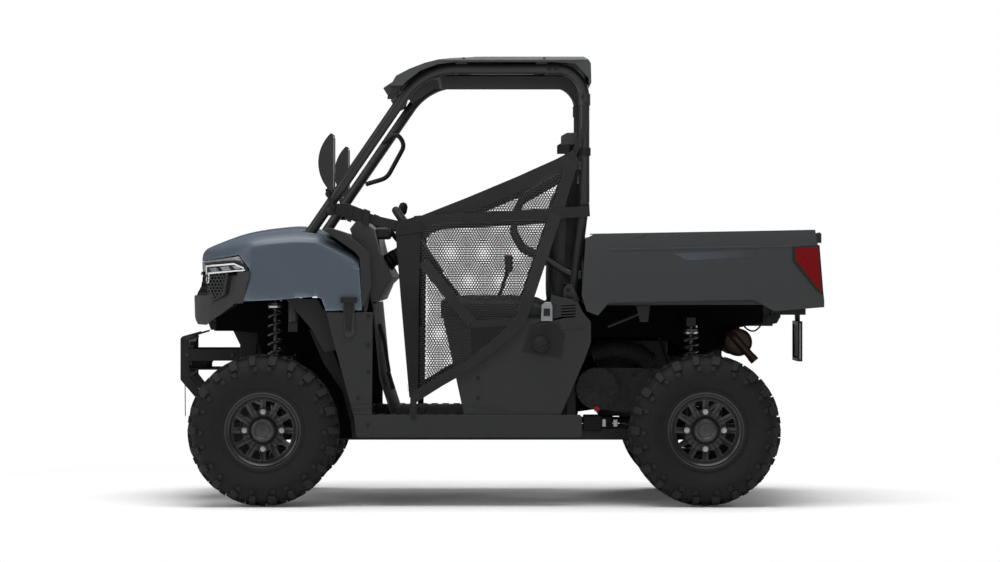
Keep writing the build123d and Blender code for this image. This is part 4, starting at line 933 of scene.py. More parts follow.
# ------------------------------------------------------------------ hood
HOOD_STATIONS = (
    # station, half width, height on the middle line, height of the shoulder
    (-1.264, 0.330, 1.060, 1.042),
    (-1.256, 0.350, 1.086, 1.058),
    (-1.210, 0.500, 1.104, 1.072),
    (-1.121, 0.618, 1.132, 1.096),
    (-1.050, 0.676, 1.151, 1.112),
    (-0.987, 0.688, 1.163, 1.122),
    (-0.915, 0.690, 1.172, 1.130),
    (-0.845, 0.690, 1.177, 1.134),
    (-0.780, 0.690, 1.170, 1.132),
    (-0.741, 0.690, 1.157, 1.124),
    (-0.669, 0.690, 1.108, 1.090),
    (-0.597, 0.690, 1.059, 1.050),
    (-0.560, 0.690, 1.020, 1.010),
)
HOOD_CUT = [
    (-0.565, 0.824), (-0.580, 1.036), (-0.596, 1.0605), (-0.741, 1.1595), (-0.845, 1.25), (-1.30, 1.25),
    (-1.30, 1.032), (-1.262, 1.032), (-1.083, 1.055), (-1.040, 1.001), (-1.037, 0.988), (-1.069, 0.860),
    (-0.912, 0.868), (-0.760, 0.881), (-0.733, 0.871), (-0.717, 0.822),
]
HOOD_STEPS = 96
SECTION_STEPS = 44
HOOD_LIP_Z = 1.02
# the cage's front tubes pass through slots in the hood's rear edge
TUBE_SLOT = [(-0.826, 0.9), (-0.826, 1.3), (-0.700, 1.3), (-0.700, 0.9)]
TUBE_SLOT_HALF = 0.036


def through(points, t):
    """Smooth curve through points at parameter t, one unit for each point."""
    i = min(int(t), len(points) - 2)
    f = t - i
    a, b = points[max(i - 1, 0)], points[i]
    c, d = points[i + 1], points[min(i + 2, len(points) - 1)]
    return [0.5 * (2 * p1 + (p2 - p0) * f + (2 * p0 - 5 * p1 + 4 * p2 - p3) * f * f
                   + (3 * p1 - p0 - 3 * p2 + p3) * f ** 3) for p0, p1, p2, p3 in zip(a, b, c, d)]


def hood_section(x, w, top, shoulder):
    """Points of (y, z) across half the hood at a station, with a raised middle panel."""
    k = w / 0.69
    rise = 0.007 * min(1.0, max(0.0, (x + 1.25) / 0.16)) * min(1.0, max(0.0, (-0.70 - x) / 0.12))
    fall = top - shoulder
    return [
        (0.0, top + rise),
        (0.24 * k, top - fall * 0.05 + rise),
        (0.395 * k, top - fall * 0.16 + rise),
        (0.415 * k, top - fall * 0.21 + rise * 0.2),
        (0.50 * k, top - fall * 0.34),
        (0.60 * k, top - fall * 0.62),
        (0.652 * k, shoulder - fall * 0.02),
        (w - 0.012, shoulder - 0.018),
        (w - 0.001, shoulder - 0.044),
        (w, 0.98),
        (w, 0.80),
    ]


def hood_grid():
    bm = bmesh.new()
    grid = []
    for i in range(HOOD_STEPS + 1):
        x, *shape = through(HOOD_STATIONS, (len(HOOD_STATIONS) - 1) * i / HOOD_STEPS)
        section = hood_section(x, *shape)
        row = [through(section, (len(section) - 1) * j / SECTION_STEPS) for j in range(SECTION_STEPS + 1)]
        right = [bm.verts.new((x, y, z)) for y, z in row]
        left = [right[0]] + [bm.verts.new((x, -y, z)) for y, z in row[1:]]
        grid.append((left, right))
    for (l0, r0), (l1, r1) in zip(grid, grid[1:]):
        for j in range(SECTION_STEPS):
            bm.faces.new((r0[j], r0[j + 1], r1[j + 1], r1[j]))
            bm.faces.new((l0[j + 1], l0[j], l1[j], l1[j + 1]))
    # the front edge turns down to the lip over the lamps
    left, right = grid[0]
    upper = left[1:SECTION_STEPS - 12][::-1] + right[:SECTION_STEPS - 12]
    lip = [bm.verts.new((v.co.x, v.co.y, HOOD_LIP_Z)) for v in upper]
    for quad in zip(upper, upper[1:], lip[1:], lip):
        bm.faces.new(quad)
    bmesh.ops.recalc_face_normals(bm, faces=bm.faces)
    return bm


def score(bm, co, normal):
    """Cuts every face a plane passes through and keeps both sides."""
    geom = list(bm.verts) + list(bm.edges) + list(bm.faces)
    bmesh.ops.bisect_plane(bm, geom=geom, plane_co=co, plane_no=normal, dist=0.00005)


def trim(bm, outline, keep, where):
    """Cuts a surface along a side-view outline and drops the faces on one side of it."""
    for (x0, z0), (x1, z1) in zip(outline, outline[1:] + outline[:1]):
        score(bm, (x0, 0, z0), (z1 - z0, 0, x0 - x1))
    spare = []
    for face in bm.faces:
        centre = face.calc_center_median()
        if where(centre) and inside(centre.x, centre.z, outline) != keep:
            spare.append(face)
    bmesh.ops.delete(bm, geom=spare, context="FACES")


def build_hood():
    bm = hood_grid()
    trim(bm, HOOD_CUT, True, lambda at: True)
    for edge in (CAGE_Y - TUBE_SLOT_HALF, CAGE_Y + TUBE_SLOT_HALF):
        for side in (-1, 1):
            score(bm, (0, side * edge, 0), (0, 1, 0))
    trim(bm, TUBE_SLOT, False, lambda at: abs(abs(at.y) - CAGE_Y) < TUBE_SLOT_HALF)
    obj = from_bmesh("hood_skin", bm, "hood", "hood", replaces=("hood",), sharp=40)
    modifier(obj, "SOLIDIFY", thickness=0.005, offset=-1.0)
    bevel(obj, 0.0016, 2, 42)


# ------------------------------------------------------------------ nose: lamps, grilles and liner
GRILLE_PITCH = 0.0160
GRILLE_STRAND = 0.0038
# station, half width of the nose's outer face
NOSE_FACE = ((-1.264, 0.330), (-1.210, 0.500), (-1.120, 0.620), (-1.040, 0.690), (-1.000, 0.691))


def nose_pair(name, material, lift, thick, edge=0.001, end="", slot=None):
    """An outline of the photograph wrapped round the nose's plan curve, on both sides."""
    for side, hand in SIDES:
        bm = bmesh.new()
        bm.faces.new([bm.verts.new((x, 0, z)) for x, z in photo(name + end)])
        for x in spaced(-1.25, 0.015, 18):
            score(bm, (x, 0, 0), (1, 0, 0))
        for v in bm.verts:
            v.co.y = side * (along(NOSE_FACE, v.co.x) + lift)
        obj = from_bmesh(f"{name}_{hand}{end}", bm, material, "hood", slot, sharp=30)
        modifier(obj, "SOLIDIFY", thickness=thick, offset=0.0)
        bevel(obj, edge, 2, 50)


def build_nose_liner():
    """Dark filler behind the grilles and lamps."""
    plan = [(x + 0.030, y - 0.045) for x, y in NOSE_FACE[:4]]
    plan = [(x, -y) for x, y in plan] + plan[::-1]
    bm = bmesh.new()
    loft(bm, [[(x, y, z) for x, y in plan] for z in (1.040, 0.880)])
    from_bmesh("nose_liner", bm, "dark", "hood")


def build_nose():
    build_nose_liner()
    nose_pair("lamp_bowl", "dark", -0.006, 0.004, slot="lamp_lens")
    nose_pair("lamp_brow", "dark", -0.001, 0.005)
    for k in range(8):
        nose_pair("lamp_part", "lamp_line" if k < 5 else "reflector", -0.002, 0.004, 0.0006, f"_{k}")
    nose_pair("fascia_wing", "trim", -0.004, 0.008, 0.002)
    nose_pair("grille_rim", "body", -0.002, 0.006)
    for side, hand in SIDES:
        bm = bmesh.new()
        add_hexagons(bm, photo("side_grille"), GRILLE_PITCH, GRILLE_STRAND, (-1.245, 0.862), 12, 9)
        for v in bm.verts:
            v.co.y = side * (along(NOSE_FACE, v.co.x) - 0.004)
        mesh = from_bmesh(f"side_grille_{hand}", bm, "trim", "hood", sharp=60)
        modifier(mesh, "SOLIDIFY", thickness=0.006, offset=0.0)


# ------------------------------------------------------------------ cowl, latches, liners and painted shade
# outline of near-black sheets under the cargo box: painted shade
REAR_SHADE_SHEET = [(0.40, 0.842), (1.145, 0.842), (1.145, 0.765), (0.985, 0.735), (0.972, 0.650), (0.80, 0.650),
              (0.72, 0.705), (0.40, 0.705)]
# outline of a dark sheet behind the gap between the side panels: painted shade
PANEL_GAP_SHADE = [(-0.722, 0.79), (-0.722, 0.86), (-0.56, 0.86), (-0.56, 0.79)]
# outline of a near-black sheet beyond the engine, between the panel and the engine: painted shade
ENGINE_SHADE_SHEET = [(0.33, 0.842), (1.00, 0.80), (0.985, 0.66), (0.90, 0.60), (0.70, 0.56), (0.62, 0.40),
                (0.33, 0.36)]


def build_latches():
    """Rubber latches between the hood and the side panels."""
    face = 0.691
    pair("panel_latch", face, face + 0.009, "dark")
    pair("panel_latch_head", face, face + 0.014, "dark", edge=0.003)
    pair("panel_latch_seat", face - 0.001, face + 0.004, "trim")


def build_liners():
    """Dark splash panels inside the front arches, a dark strip under the cargo box's edge, and dark sheets
    behind the panel gap, the vents and the engine and under the cargo box, which are painted shade.
    """
    pair("inner_fender", 0.352, 0.358, "liner", edge=0.001)
    pair("toe_liner", 0.330, 0.335, "liner", edge=0.001)
    pair("arch_trim", 0.588, 0.592, "body", edge=0.001)
    pair("arch_liner", 0.560, 0.565, "dark", edge=0.001)
    # dark sheet behind the panel gap: painted shade
    pair("panel_gap_shade", 0.640, 0.662, "dark", outline=PANEL_GAP_SHADE, edge=0.001)
    # near-black sheets under the cargo box: painted shade
    pair("rear_shade_sheet", 0.262, 0.267, "liner", outline=REAR_SHADE_SHEET, edge=0.001)
    # dark sheet behind the vents: painted shade
    pair("vent_shade", 0.575, 0.580, "dark", edge=0.001)
    pair("box_hem", 0.596, 0.601, "dark", body="cargo_box", slot="box_plastic", edge=0.001)
    # near-black sheet behind the engine: painted shade
    slab("engine_shade_sheet", ENGINE_SHADE_SHEET, 0.268, 0.272, "liner", edge=0.001)


def build_cowl():
    pair("cowl_corner", 0.600, 0.689, "body", edge=0.006, segments=3, body="hood")


# ------------------------------------------------------------------ cab
BELT_Y = 0.505
BUCKLE_Y = 0.24


def build_belts():
    pair("belt_anchor", 0.500, 0.535, "trim", slot="cage_paint", edge=0.004)
    for side, hand in SIDES:
        y = side * BELT_Y
        path = [(0.330, y, 1.545), (0.318, y, 1.40), (0.312, side * 0.51, 1.20), (0.306, side * 0.52, 1.02),
                (0.300, side * 0.55, 0.93)]
        belt = strap_object(f"belt_{hand}", [(dense(path), 0.046, (0.25, side, 0.0))])
        ring = [(0.300, y, 1.525), (0.358, y, 1.525), (0.352, y, 1.545), (0.306, y, 1.545)]
        curve_tube(f"belt_ring_{hand}", ring, 0.0045, "dark", cyclic=True)
        stalk = [(0.010, side * 0.245, 0.88), (0.050, side * 0.238, 1.0)]
        curve_tube(f"buckle_stalk_{hand}", stalk, 0.008, "dark")
        for name, material, half, x, z, edge in (
            ("buckle", "dark", 0.028, (0.035, 0.068), (0.985, 1.055), 0.006),
            ("buckle_button", "red_cap", 0.018, (0.033, 0.066), (1.030, 1.0575), 0.003),
        ):
            middle = side * BUCKLE_Y
            blocks(f"{name}_{hand}", [((x[0], middle - half, z[0]), (x[1], middle + half, z[1]))], material,
                   edge, slot="seat_vinyl")


def build_cage_hardware():
    pair("pillar_foot", 0.585, 0.600, "cage")
    places = []
    for side, hand in SIDES:
        bm = bmesh.new()
        add_cylinder(bm, Matrix.Translation((0.369, side * CAGE_Y, 1.712)), 0.050, CAGE_R + 0.004)
        across = Matrix.Translation((0.235, side * CAGE_Y, CAGE_TOP)) @ Matrix.Rotation(radians(90), 4, "Y")
        add_cylinder(bm, across, 0.052, CAGE_R + 0.0035)
        bevel(from_bmesh(f"cage_sleeves_{hand}", bm, "cage"), 0.0015)
        face = CAGE_Y + CAGE_R
        seats = [(0.362, face + 0.003, 1.724), (0.376, face + 0.003, 1.700), (0.222, face + 0.002, CAGE_TOP),
                 (0.248, face + 0.002, CAGE_TOP)] + [(x, 0.600, z) for x, z in photo("foot_bolts")]
        places += [((x, side * y, z), (0, side, 0)) for x, y, z in seats]
        # bracket pads of the restraint bar
        for k, z in enumerate((1.432, 0.972)):
            pad = mirrored_box((0.340, CAGE_Y - 0.018, z - 0.018), (0.358, CAGE_Y + 0.018, z + 0.018), side)
            blocks(f"bar_pad_{hand}_{k}", [pad], "cage", 0.004)
    bolts("cage_bolts", places, 0.0062, slot="cage_paint")
    handle = [(x, y, z) for y, (x, z) in zip((0.535, 0.505, 0.505, 0.505, 0.535), photo("grab_handle"))]
    curve_tube("grab_handle", handle, 0.0105, "dark", bend=0.03)


def build_roof_hardware():
    lining = [(-0.285, 1.8125), (0.290, 1.8125), (0.328, 1.797), (0.352, 1.762), (0.359, 1.766),
              (0.335, 1.804), (0.292, 1.8185), (-0.285, 1.8185), (-0.389, 1.750), (-0.385, 1.744)]
    slab("roof_liner", lining, -0.525, 0.525, "liner", edge=0.001)
    slab("roof_bracket", photo("roof_bracket"), -0.545, -0.530, "roof", slot="bright_metal")
    pair("visor_end", 0.46, 0.55, "trim", edge=0.004)
    pair("visor_clip", 0.500, 0.545, "trim", edge=0.003)
    seam = [(-0.22, 1.8775), (0.36, 1.8775), (0.36, 1.8735), (-0.22, 1.8735)]
    pair("roof_seam", 0.5985, 0.6025, "roof", outline=seam, edge=0.001)
    ribs = [((-0.10, y - 0.022, 1.903), (0.31, y + 0.022, 1.9145 - abs(y) * 0.02))
            for y in (-0.30, -0.10, 0.10, 0.30)]
    blocks("roof_ribs", ribs, "roof", 0.004)
    places = [((x, side * 0.585, 1.882), (0, side * 0.3, 1)) for x in (-0.14, 0.20) for side in (-1, 1)]
    bolts("roof_bolts", places, 0.006, slot="cage_paint")


def build_mirrors():
    ball = [(0.0, -0.016), (0.010, -0.013), (0.016, 0.0), (0.010, 0.013), (0.0, 0.016)]
    for side, hand in SIDES:
        glass = mirrored_box((-0.6805, 0.652, 1.338), (-0.6775, 0.798, 1.546), side)
        blocks(f"mirror_glass_{hand}", [glass], "mirror", 0.001)
        turned(f"mirror_ball_{hand}", ball, (-0.706, side * 0.64, 1.312), (0, 0, 1), "dark", 32,
               slot="mirror_plastic")


def build_dash():
    blocks("gauge_pod", [((-0.520, -0.400, 1.125), (-0.455, -0.200, 1.175))], "trim", 0.012)
    turned("gauge", [(0.0, 0.004), (0.050, 0.004), (0.052, 0.010), (0.058, 0.010), (0.060, -0.01)],
           (-0.462, -0.300, 1.166), (0.78, 0, 0.62), "dark", 64)
    switches = [((-0.468, y, 1.040), (-0.448, y + 0.030, 1.078)) for y in spaced(-0.10, 0.045, 4)]
    blocks("switches", switches, "dark", 0.004)
    turned("column_boot", [(0.030, -0.05), (0.036, -0.04), (0.030, -0.03), (0.036, -0.02), (0.030, -0.01),
                           (0.034, 0.0)],
           (-0.430, -0.300, 1.054), (0.815, 0, 0.58), "dark", 40)
    stalk = [(-0.405, -0.34, 1.08), (-0.40, -0.40, 1.105), (-0.395, -0.425, 1.115)]
    curve_tube("stalk", stalk, 0.006, "dark", bend=0.02)
    turned("shift_knob", [(0.0, 0.055), (0.014, 0.050), (0.020, 0.035), (0.018, 0.012), (0.012, 0.0),
                          (0.0, 0.0)],
           (-0.4125, -0.065, 1.235), (0.1, 0, 1), "dark", 40)


# ------------------------------------------------------------------ seats
VOXEL = 0.0075
SIM_FRAMES = 20
SEAT_PITCH = 0.423
BACK_PITCH = 0.349
CLOTH = {
    "quality": 5,
    "mass": 0.3,
    "use_pressure": True,
    "uniform_pressure_force": 4.0,
    "tension_stiffness": 12,
    "compression_stiffness": 12,
    "bending_stiffness": 0.6,
    "vertex_group_mass": "pins",
}


def pad_block(name, width, depth, height, corner):
    """A closed block with rounded corners, in even small squares."""
    bm = bmesh.new()
    add_block(bm, (-width / 2, -depth / 2, 0), (width / 2, depth / 2, height))
    sharp = [e for e in bm.edges if e.calc_face_angle(0) > radians(40)]
    bmesh.ops.bevel(bm, geom=sharp, offset=corner, segments=3, affect="EDGES")
    bmesh.ops.recalc_face_normals(bm, faces=bm.faces)
    mesh = bpy.data.meshes.new(name)
    bm.to_mesh(mesh)
    bm.free()
    obj = bpy.data.objects.new(name, mesh)
    bpy.context.scene.collection.objects.link(obj)
    modifier(obj, "REMESH", mode="VOXEL", voxel_size=VOXEL)
    return apply_modifiers(obj)


def inflate(name, width, depth, height, corner, motion, seam):
    """A cushion mesh swelled by cloth simulation, its two seams, rim and underside held.

    The height is the one before it swells, motion the farthest swell, seam how far each seam is from the middle.
    """
    obj = pad_block(name, width, depth, height, corner)
    start = [v.co.copy() for v in obj.data.vertices]
    held = []
    for v in obj.data.vertices:
        low = v.co.z < height * 0.18
        rim = min(width / 2 - abs(v.co.x), depth / 2 - abs(v.co.y)) < 0.004 and v.co.z < height * 0.62
        sewn = any(abs(v.co.x - s) < 0.004 for s in (-seam, seam)) and v.co.z > height * 0.8
        if low or rim or sewn:
            held.append(v.index)
    obj.vertex_groups.new(name="pins").add(held, 1.0, "REPLACE")
    cloth = obj.modifiers.new("cloth", "CLOTH")
    for key, value in CLOTH.items():
        setattr(cloth.settings, key, value)
    cloth.settings.effector_weights.gravity = 0
    cloth.point_cache.frame_start = 1
    cloth.point_cache.frame_end = SIM_FRAMES
    for frame_number in range(1, SIM_FRAMES + 1):
        bpy.context.scene.frame_set(frame_number)
    apply_modifiers(obj)
    bpy.context.scene.frame_set(1)
    for v, at in zip(obj.data.vertices, start):
        move = v.co - at
        if move.length > motion:
            v.co = at + move.normalized() * motion
    mesh = obj.data
    bpy.data.objects.remove(obj)
    return mesh


def build_seats():
    """Bench cushion and backrest, each sewn from three pads, with piping round the cushion's pads."""
    turn = Matrix.Rotation(radians(90), 4, "Z")
    lean = Matrix.Rotation(radians(-88.0), 4, "Y") @ turn
    seat = inflate("seat_pad", width=0.418, depth=0.436, height=0.076, corner=0.022, motion=0.024, seam=0.085)
    back = inflate("back_pad", width=0.345, depth=0.480, height=0.054, corner=0.020, motion=0.022, seam=0.075)
    parts = (
        # name, mesh, pitch across the cab, x, z, turn, CAD node it stands for
        ("seat", seat, SEAT_PITCH, -0.018, 0.789, turn, "seat_cushion"),
        ("back", back, BACK_PITCH, 0.291, 1.085, lean, "seat_back"),
    )
    for part, mesh, pitch, x, z, turned_to, node in parts:
        paint(mesh, "vinyl")
        for k in (-1, 0, 1):
            own = mesh.copy()
            own.transform(Matrix.Translation((x, k * pitch, z)) @ turned_to)
            obj = bpy.data.objects.new(f"{part}_pad_{k + 1}", own)
            link(obj, "chassis", (node,) if k == -1 else ())
            modifier(obj, "SUBSURF", levels=1, render_levels=1)
    for name, lo, hi in (("back_shell", (0.292, -0.515, 0.84), (0.298, 0.515, 1.325)),
                         ("seat_tray", (-0.236, -0.636, 0.7895), (0.20, 0.636, 0.796))):
        blocks(name, [(lo, hi)], "trim", slot="seat_vinyl")
    for k in (-1, 0, 1):
        loop = [(x, k * SEAT_PITCH + y, 0.853) for x, y in (
            (-0.222, -0.195), (0.186, -0.195), (0.186, 0.195), (-0.222, 0.195), (-0.222, -0.195))]
        curve_tube(f"seat_piping_{k + 1}", loop, 0.0028, "dark", bend=0.03, resolution=3)


# ------------------------------------------------------------------ side panels
FILLER_CAP = [(0.0, 0.030), (0.020, 0.030), (0.024, 0.027), (0.030, 0.0265), (0.034, 0.023), (0.036, 0.004),
              (0.041, 0.002), (0.041, 0.0)]
# outline of a dark sheet laid in the shallow fuel recess: painted shade
FILLER_RECESS_SHADE = [(0.146, 0.755), (0.249, 0.766), (0.282, 0.721), (0.267, 0.626), (0.112, 0.652)]
FLOOR_TOP = 0.3845


def build_filler_caps():
    """Fuel cap in its recess: a knob with grip flutes and a bar to turn it by."""
    # dark sheet just inside the recess: painted shade
    pair("filler_recess_shade", 0.6765, 0.6782, "dark", outline=FILLER_RECESS_SHADE, edge=0.0006)
    for side, hand in SIDES:
        bm = bmesh.new()
        base = Matrix.Translation((0.184, side * 0.668, 0.680)) @ aim((0, side, 0))
        add_spun(bm, FILLER_CAP, 60, base)
        for a in spaced(0, 2 * pi / 12, 12):
            add_block(bm, (0.031, -0.003, 0.002), (0.0385, 0.003, 0.024), base @ Matrix.Rotation(a, 4, "Z"))
        add_block(bm, (-0.026, -0.006, 0.024), (0.026, 0.006, 0.034), base @ Matrix.Rotation(0.5, 4, "Z"))
        bevel(from_bmesh(f"filler_cap_{hand}", bm, "dark"), 0.0012)


def build_side_panels():
    pair("net_buckle", 0.684, 0.700, "alloy", edge=0.003)
    pair("net_buckle_slot", 0.6995, 0.7035, "dark", slot="net_webbing", edge=0.0015)
    # pressed lines of the quarter panel, and the front panel's step near the foot
    for k in range(3):
        pair("panel_line", PANEL_HALF - 0.001, PANEL_HALF + 0.0022, "body", f"_{k}", edge=0.001)
    pair("arch_step", 0.6885, 0.6925, "body", edge=0.0012)
    for side, hand in SIDES:
        strips = [mirrored_box((x, 0.646, FLOOR_TOP), (x + 0.030, 0.684, FLOOR_TOP + 0.004), side)
                  for x in spaced(-0.60, 0.05, 17)]
        blocks(f"sill_treads_{hand}", strips, "body", 0.0015)
        for name, y in (("panel_bolts", PANEL_HALF + 0.0005), ("front_panel_bolts", BODY_HALF + 0.0015)):
            places = [((x, side * y, z), (0, side, 0)) for x, z in photo(name)]
            bolts(f"{name}_{hand}", places, 0.005, "dark", "body_plastic")
    ribs = [((x, -0.58, FLOOR_TOP), (x + 0.012, 0.58, FLOOR_TOP + 0.005)) for x in spaced(-0.60, 0.035, 9)]
    blocks("floor_ribs", ribs, "body", 0.0015)


# ------------------------------------------------------------------ cargo box
# outer face of the tailgate: its foot, and how far it leans in over its height
GATE_X = 1.371
GATE_Z = 0.869
GATE_HEIGHT = 0.226
GATE_LEAN = 0.027
GATE_FACES = ((0, 1, 5, 4), (1, 2, 6, 5), (2, 3, 7, 6), (3, 0, 4, 7), (4, 5, 6, 7), (3, 2, 1, 0))


def fade_along(material, colour, start, end):
    """Blends a finish into another colour along the piece's length."""
    nodes = material.node_tree.nodes
    shader = nodes["Principled BSDF"]
    split = nodes.new("ShaderNodeSeparateXYZ")
    feed(split, 0, nodes.new("ShaderNodeTexCoord").outputs["Generated"])
    fade = number_range(nodes, split.outputs["X"], 0.0, 1.0, start, end)
    plain = shader.inputs["Base Color"].links[0].from_socket
    feed(shader, "Base Color", mix_colours(nodes, fade, plain, (*colour, 1)))


def on_box(name, y0, y1, material, **more):
    """A pair of slabs near the faces of the cargo box's walls."""
    pair(name, BODY_HALF + y0, BODY_HALF + y1, material, body="cargo_box", **more)


def build_box_sides():
    fade_along(MATERIALS["stripe"], BOX_GREY, 0.25, 0.95)
    on_box("box_stripe", -0.001, 0.0008, "stripe", edge=0.0004)
    # pressed frame along the ledge and the facet at the front of the wall
    on_box("box_ledge", -0.004, 0.0020, "box", edge=0.0012)
    on_box("box_facet", -0.012, -0.0035, "box", edge=0.0015)
    # latch at the tailgate's end, rail on the top edge
    on_box("gate_latch", -0.030, -0.008, "frame")
    on_box("box_rail", -0.044, -0.018, "box", edge=0.0025)
    for side, hand in SIDES:
        face, proud = side * BODY_HALF, side * (BODY_HALF + 0.0055)
        bm = bmesh.new()
        loft(bm, [[(x, y, z) for x, z in photo(outline)] for outline, y in (
            ("lamp_rim", face), ("lamp_rim", proud), ("lamp_rim_inner", proud), ("lamp_rim_inner", face))],
             closed=True)
        bevel(from_bmesh(f"lamp_rim_{hand}", bm, "dark", "cargo_box", "tail_lens"), 0.001)
        # steps inside the red lens
        bm = bmesh.new()
        for k, x in enumerate(spaced(1.262, 0.022, 3)):
            add_prism(bm, [(x, 1.078), (x + 0.012, 1.078), (x + 0.016, 1.020 - 0.025 * k),
                           (x + 0.004, 1.024 - 0.025 * k)], proud + side * 0.0003, proud + side * 0.0013)
        from_bmesh(f"lamp_steps_{hand}", bm, "red_lens", "cargo_box")
        ties = [mirrored_box((x, BODY_HALF - 0.0465, 1.10), (x + 0.06, BODY_HALF - 0.0440, 1.13), side)
                for x in (0.52, 0.80, 1.08)]
        blocks(f"tie_pockets_{hand}", ties, "dark", 0.001, body="cargo_box", slot="box_plastic")
        for k, x in enumerate((0.55, 0.83, 1.11)):
            near, far = face - side * 0.047, face - side * 0.062
            hoop = [(x - 0.02, near, 1.09), (x - 0.02, far, 1.085),
                    (x + 0.02, far, 1.085), (x + 0.02, near, 1.09)]
            curve_tube(f"tie_hoop_{hand}_{k}", hoop, 0.0035, "steel", "cargo_box", bend=0.008)


def build_bed():
    ribs = [((0.47, y - 0.018, 0.8715), (1.285, y + 0.018, 0.8775)) for y in spaced(-0.57, 0.095, 13)]
    blocks("bed_ribs", ribs, "box", 0.003, body="cargo_box")
    panels = [((0.4245, y, 0.93), (0.4285, y + 0.16, 1.09)) for y in spaced(-0.50, 0.21, 5)]
    blocks("bed_front_panels", panels, "box", body="cargo_box")


def build_gate():
    """Pressed panels outside the tailgate, which leans with it, and its handle."""
    bm = bmesh.new()
    for y0, y1 in ((-0.60, -0.21), (-0.17, 0.17), (0.21, 0.60)):
        for z0, z1 in ((0.905, 0.985), (1.005, 1.085)):
            corners = []
            for sink, inset in ((0.004, 0.0), (0.0, 0.008)):
                for y, z, base in ((y0 + inset, z0 + inset, z0), (y1 - inset, z0 + inset, z0),
                                   (y1 - inset, z1 - inset, z1), (y0 + inset, z1 - inset, z1)):
                    corners.append((GATE_X - GATE_LEAN * (base - GATE_Z) / GATE_HEIGHT - sink, y, z))
            add_faces(bm, corners, GATE_FACES)
    bevel(from_bmesh("gate_panels", bm, "box", "tailgate"), 0.002)
    blocks("gate_handle", [((1.338, -0.085, 1.098), (1.3485, 0.085, 1.128))], "dark", 0.003, body="tailgate",
           slot="box_plastic")


# ------------------------------------------------------------------ engine and exhaust
DRIVE_PULLEY = (0.431, 0.484)
DRIVEN_PULLEY = (0.662, 0.470)
MUFFLER_X = 1.034
MUFFLER_Z = 0.683
HOSES = (
    # name, route, radius
    ("coolant_hose", [(0.46, 0.10, 0.66), (0.36, 0.16, 0.60), (0.345, 0.17, 0.36), (0.325, 0.17, 0.314)],
     0.014),
    ("breather_hose", [(0.52, -0.06, 0.685), (0.56, -0.16, 0.735), (0.70, -0.16, 0.72), (0.80, -0.12, 0.44)],
     0.008),
)


def build_engine():
    fins = [((0.452, -0.145, z), (0.60, -0.132, z + 0.008)) for z in spaced(0.50, 0.020, 9)]
    blocks("engine_fins", fins, "cast")
    turned("oil_filter", [(0.0, 0.078), (0.030, 0.078), (0.036, 0.072), (0.037, 0.010), (0.033, 0.0)],
           (0.560, 0.198, 0.46), (0, 1, 0), "muffler", slot="cast_metal")
    # ribbed intake duct over the drive cover
    path = [(0.415, -0.22, 0.628), (0.50, -0.235, 0.655), (0.60, -0.235, 0.640), (0.665, -0.22, 0.590)]
    curve_tube("intake_duct", path, 0.040, "dark", bend=0.06)
    spine = dense(path, 0.013)
    bm = bmesh.new()
    for a, b in zip(spine[1:-1], spine[2:]):
        add_cylinder(bm, Matrix.Translation(a) @ aim(b - a), 0.005, 0.0445)
    bevel(from_bmesh("duct_ribs", bm, "dark", slot="cast_metal"), 0.0015)
    places = [((x, -0.2995, z), (0, -1, 0)) for x, z in ring_points(DRIVE_PULLEY, 0.083, 10, 0.3)]
    places += [((x, -0.2545, z), (0, -1, 0)) for x, z in ring_points(DRIVEN_PULLEY, 0.092, 8)]
    bolts("cover_bolts", places, 0.0042, slot="cast_metal")
    turned("drain_plug", [(0.0, 0.012), (0.011, 0.012), (0.013, 0.009), (0.013, 0.0)], (0.428, -0.300, 0.398),
           (0, -1, 0), "red_cap", 32, slot="cast_metal")
    blocks("starter_box", [((0.372, -0.27, 0.300), (0.452, -0.15, 0.368))], "dark", 0.006, slot="cast_metal")
    blocks("tow_clamps", [((0.452, -0.262, 0.318), (0.470, -0.240, 0.352)),
                          ((0.500, -0.262, 0.318), (0.520, -0.240, 0.350))], "steel", 0.003)
    blocks("heat_shield", [((0.86, 0.02, 0.735), (1.01, 0.19, 0.742))], "steel")
    for name, pts, r in HOSES:
        hose = curve_tube(name, pts, r, "dark", bend=0.05)


def build_exhaust():
    """Silencer with bands and an end dish, its header and its tailpipe."""
    profile = [(0.0, -0.200), (0.050, -0.200), (0.0565, -0.194), (0.058, -0.185)]
    for y in (-0.15, 0.26, 0.31):
        profile += [(0.058, y - 0.006), (0.0598, y - 0.004), (0.0598, y + 0.004), (0.058, y + 0.006)]
    profile += [(0.058, 0.332), (0.0595, 0.336), (0.0595, 0.340), (0.054, 0.343)]
    can = turned("silencer_can", profile, (MUFFLER_X, 0, MUFFLER_Z), (0, -1, 0), "muffler", 64)
    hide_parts("muffler")
    header = [(0.742, 0.100, 0.610), (0.90, 0.100, 0.610), (0.985, 0.100, 0.655),
              (MUFFLER_X, 0.100, MUFFLER_Z)]
    curve_tube("header_pipe", header, 0.020, "muffler", bend=0.05)
    blocks("silencer_hanger", [((1.022, -0.247, 0.733), (1.046, -0.213, 0.753))], "frame")
    tail = [(1.006, -0.338, 0.716), (1.016, -0.352, 0.706), (1.100, -0.360, 0.608)]
    curve_tube("tailpipe", tail, 0.0175, "muffler", bend=0.01)
    turned("muffler_dish", [(0.0, 0.006), (0.030, 0.010), (0.048, 0.006), (0.056, 0.012), (0.0595, 0.0)],
           (MUFFLER_X, -0.340, MUFFLER_Z), (0, -1, 0), "muffler", 64)
    tip = [(0.0, -0.004), (0.0150, -0.004), (0.0160, 0.006), (0.0192, 0.006), (0.0192, -0.018),
           (0.0172, -0.020)]
    turned("tailpipe_tip", tip, tail[2], Vector(tail[2]) - Vector(tail[1]), "muffler", 40)


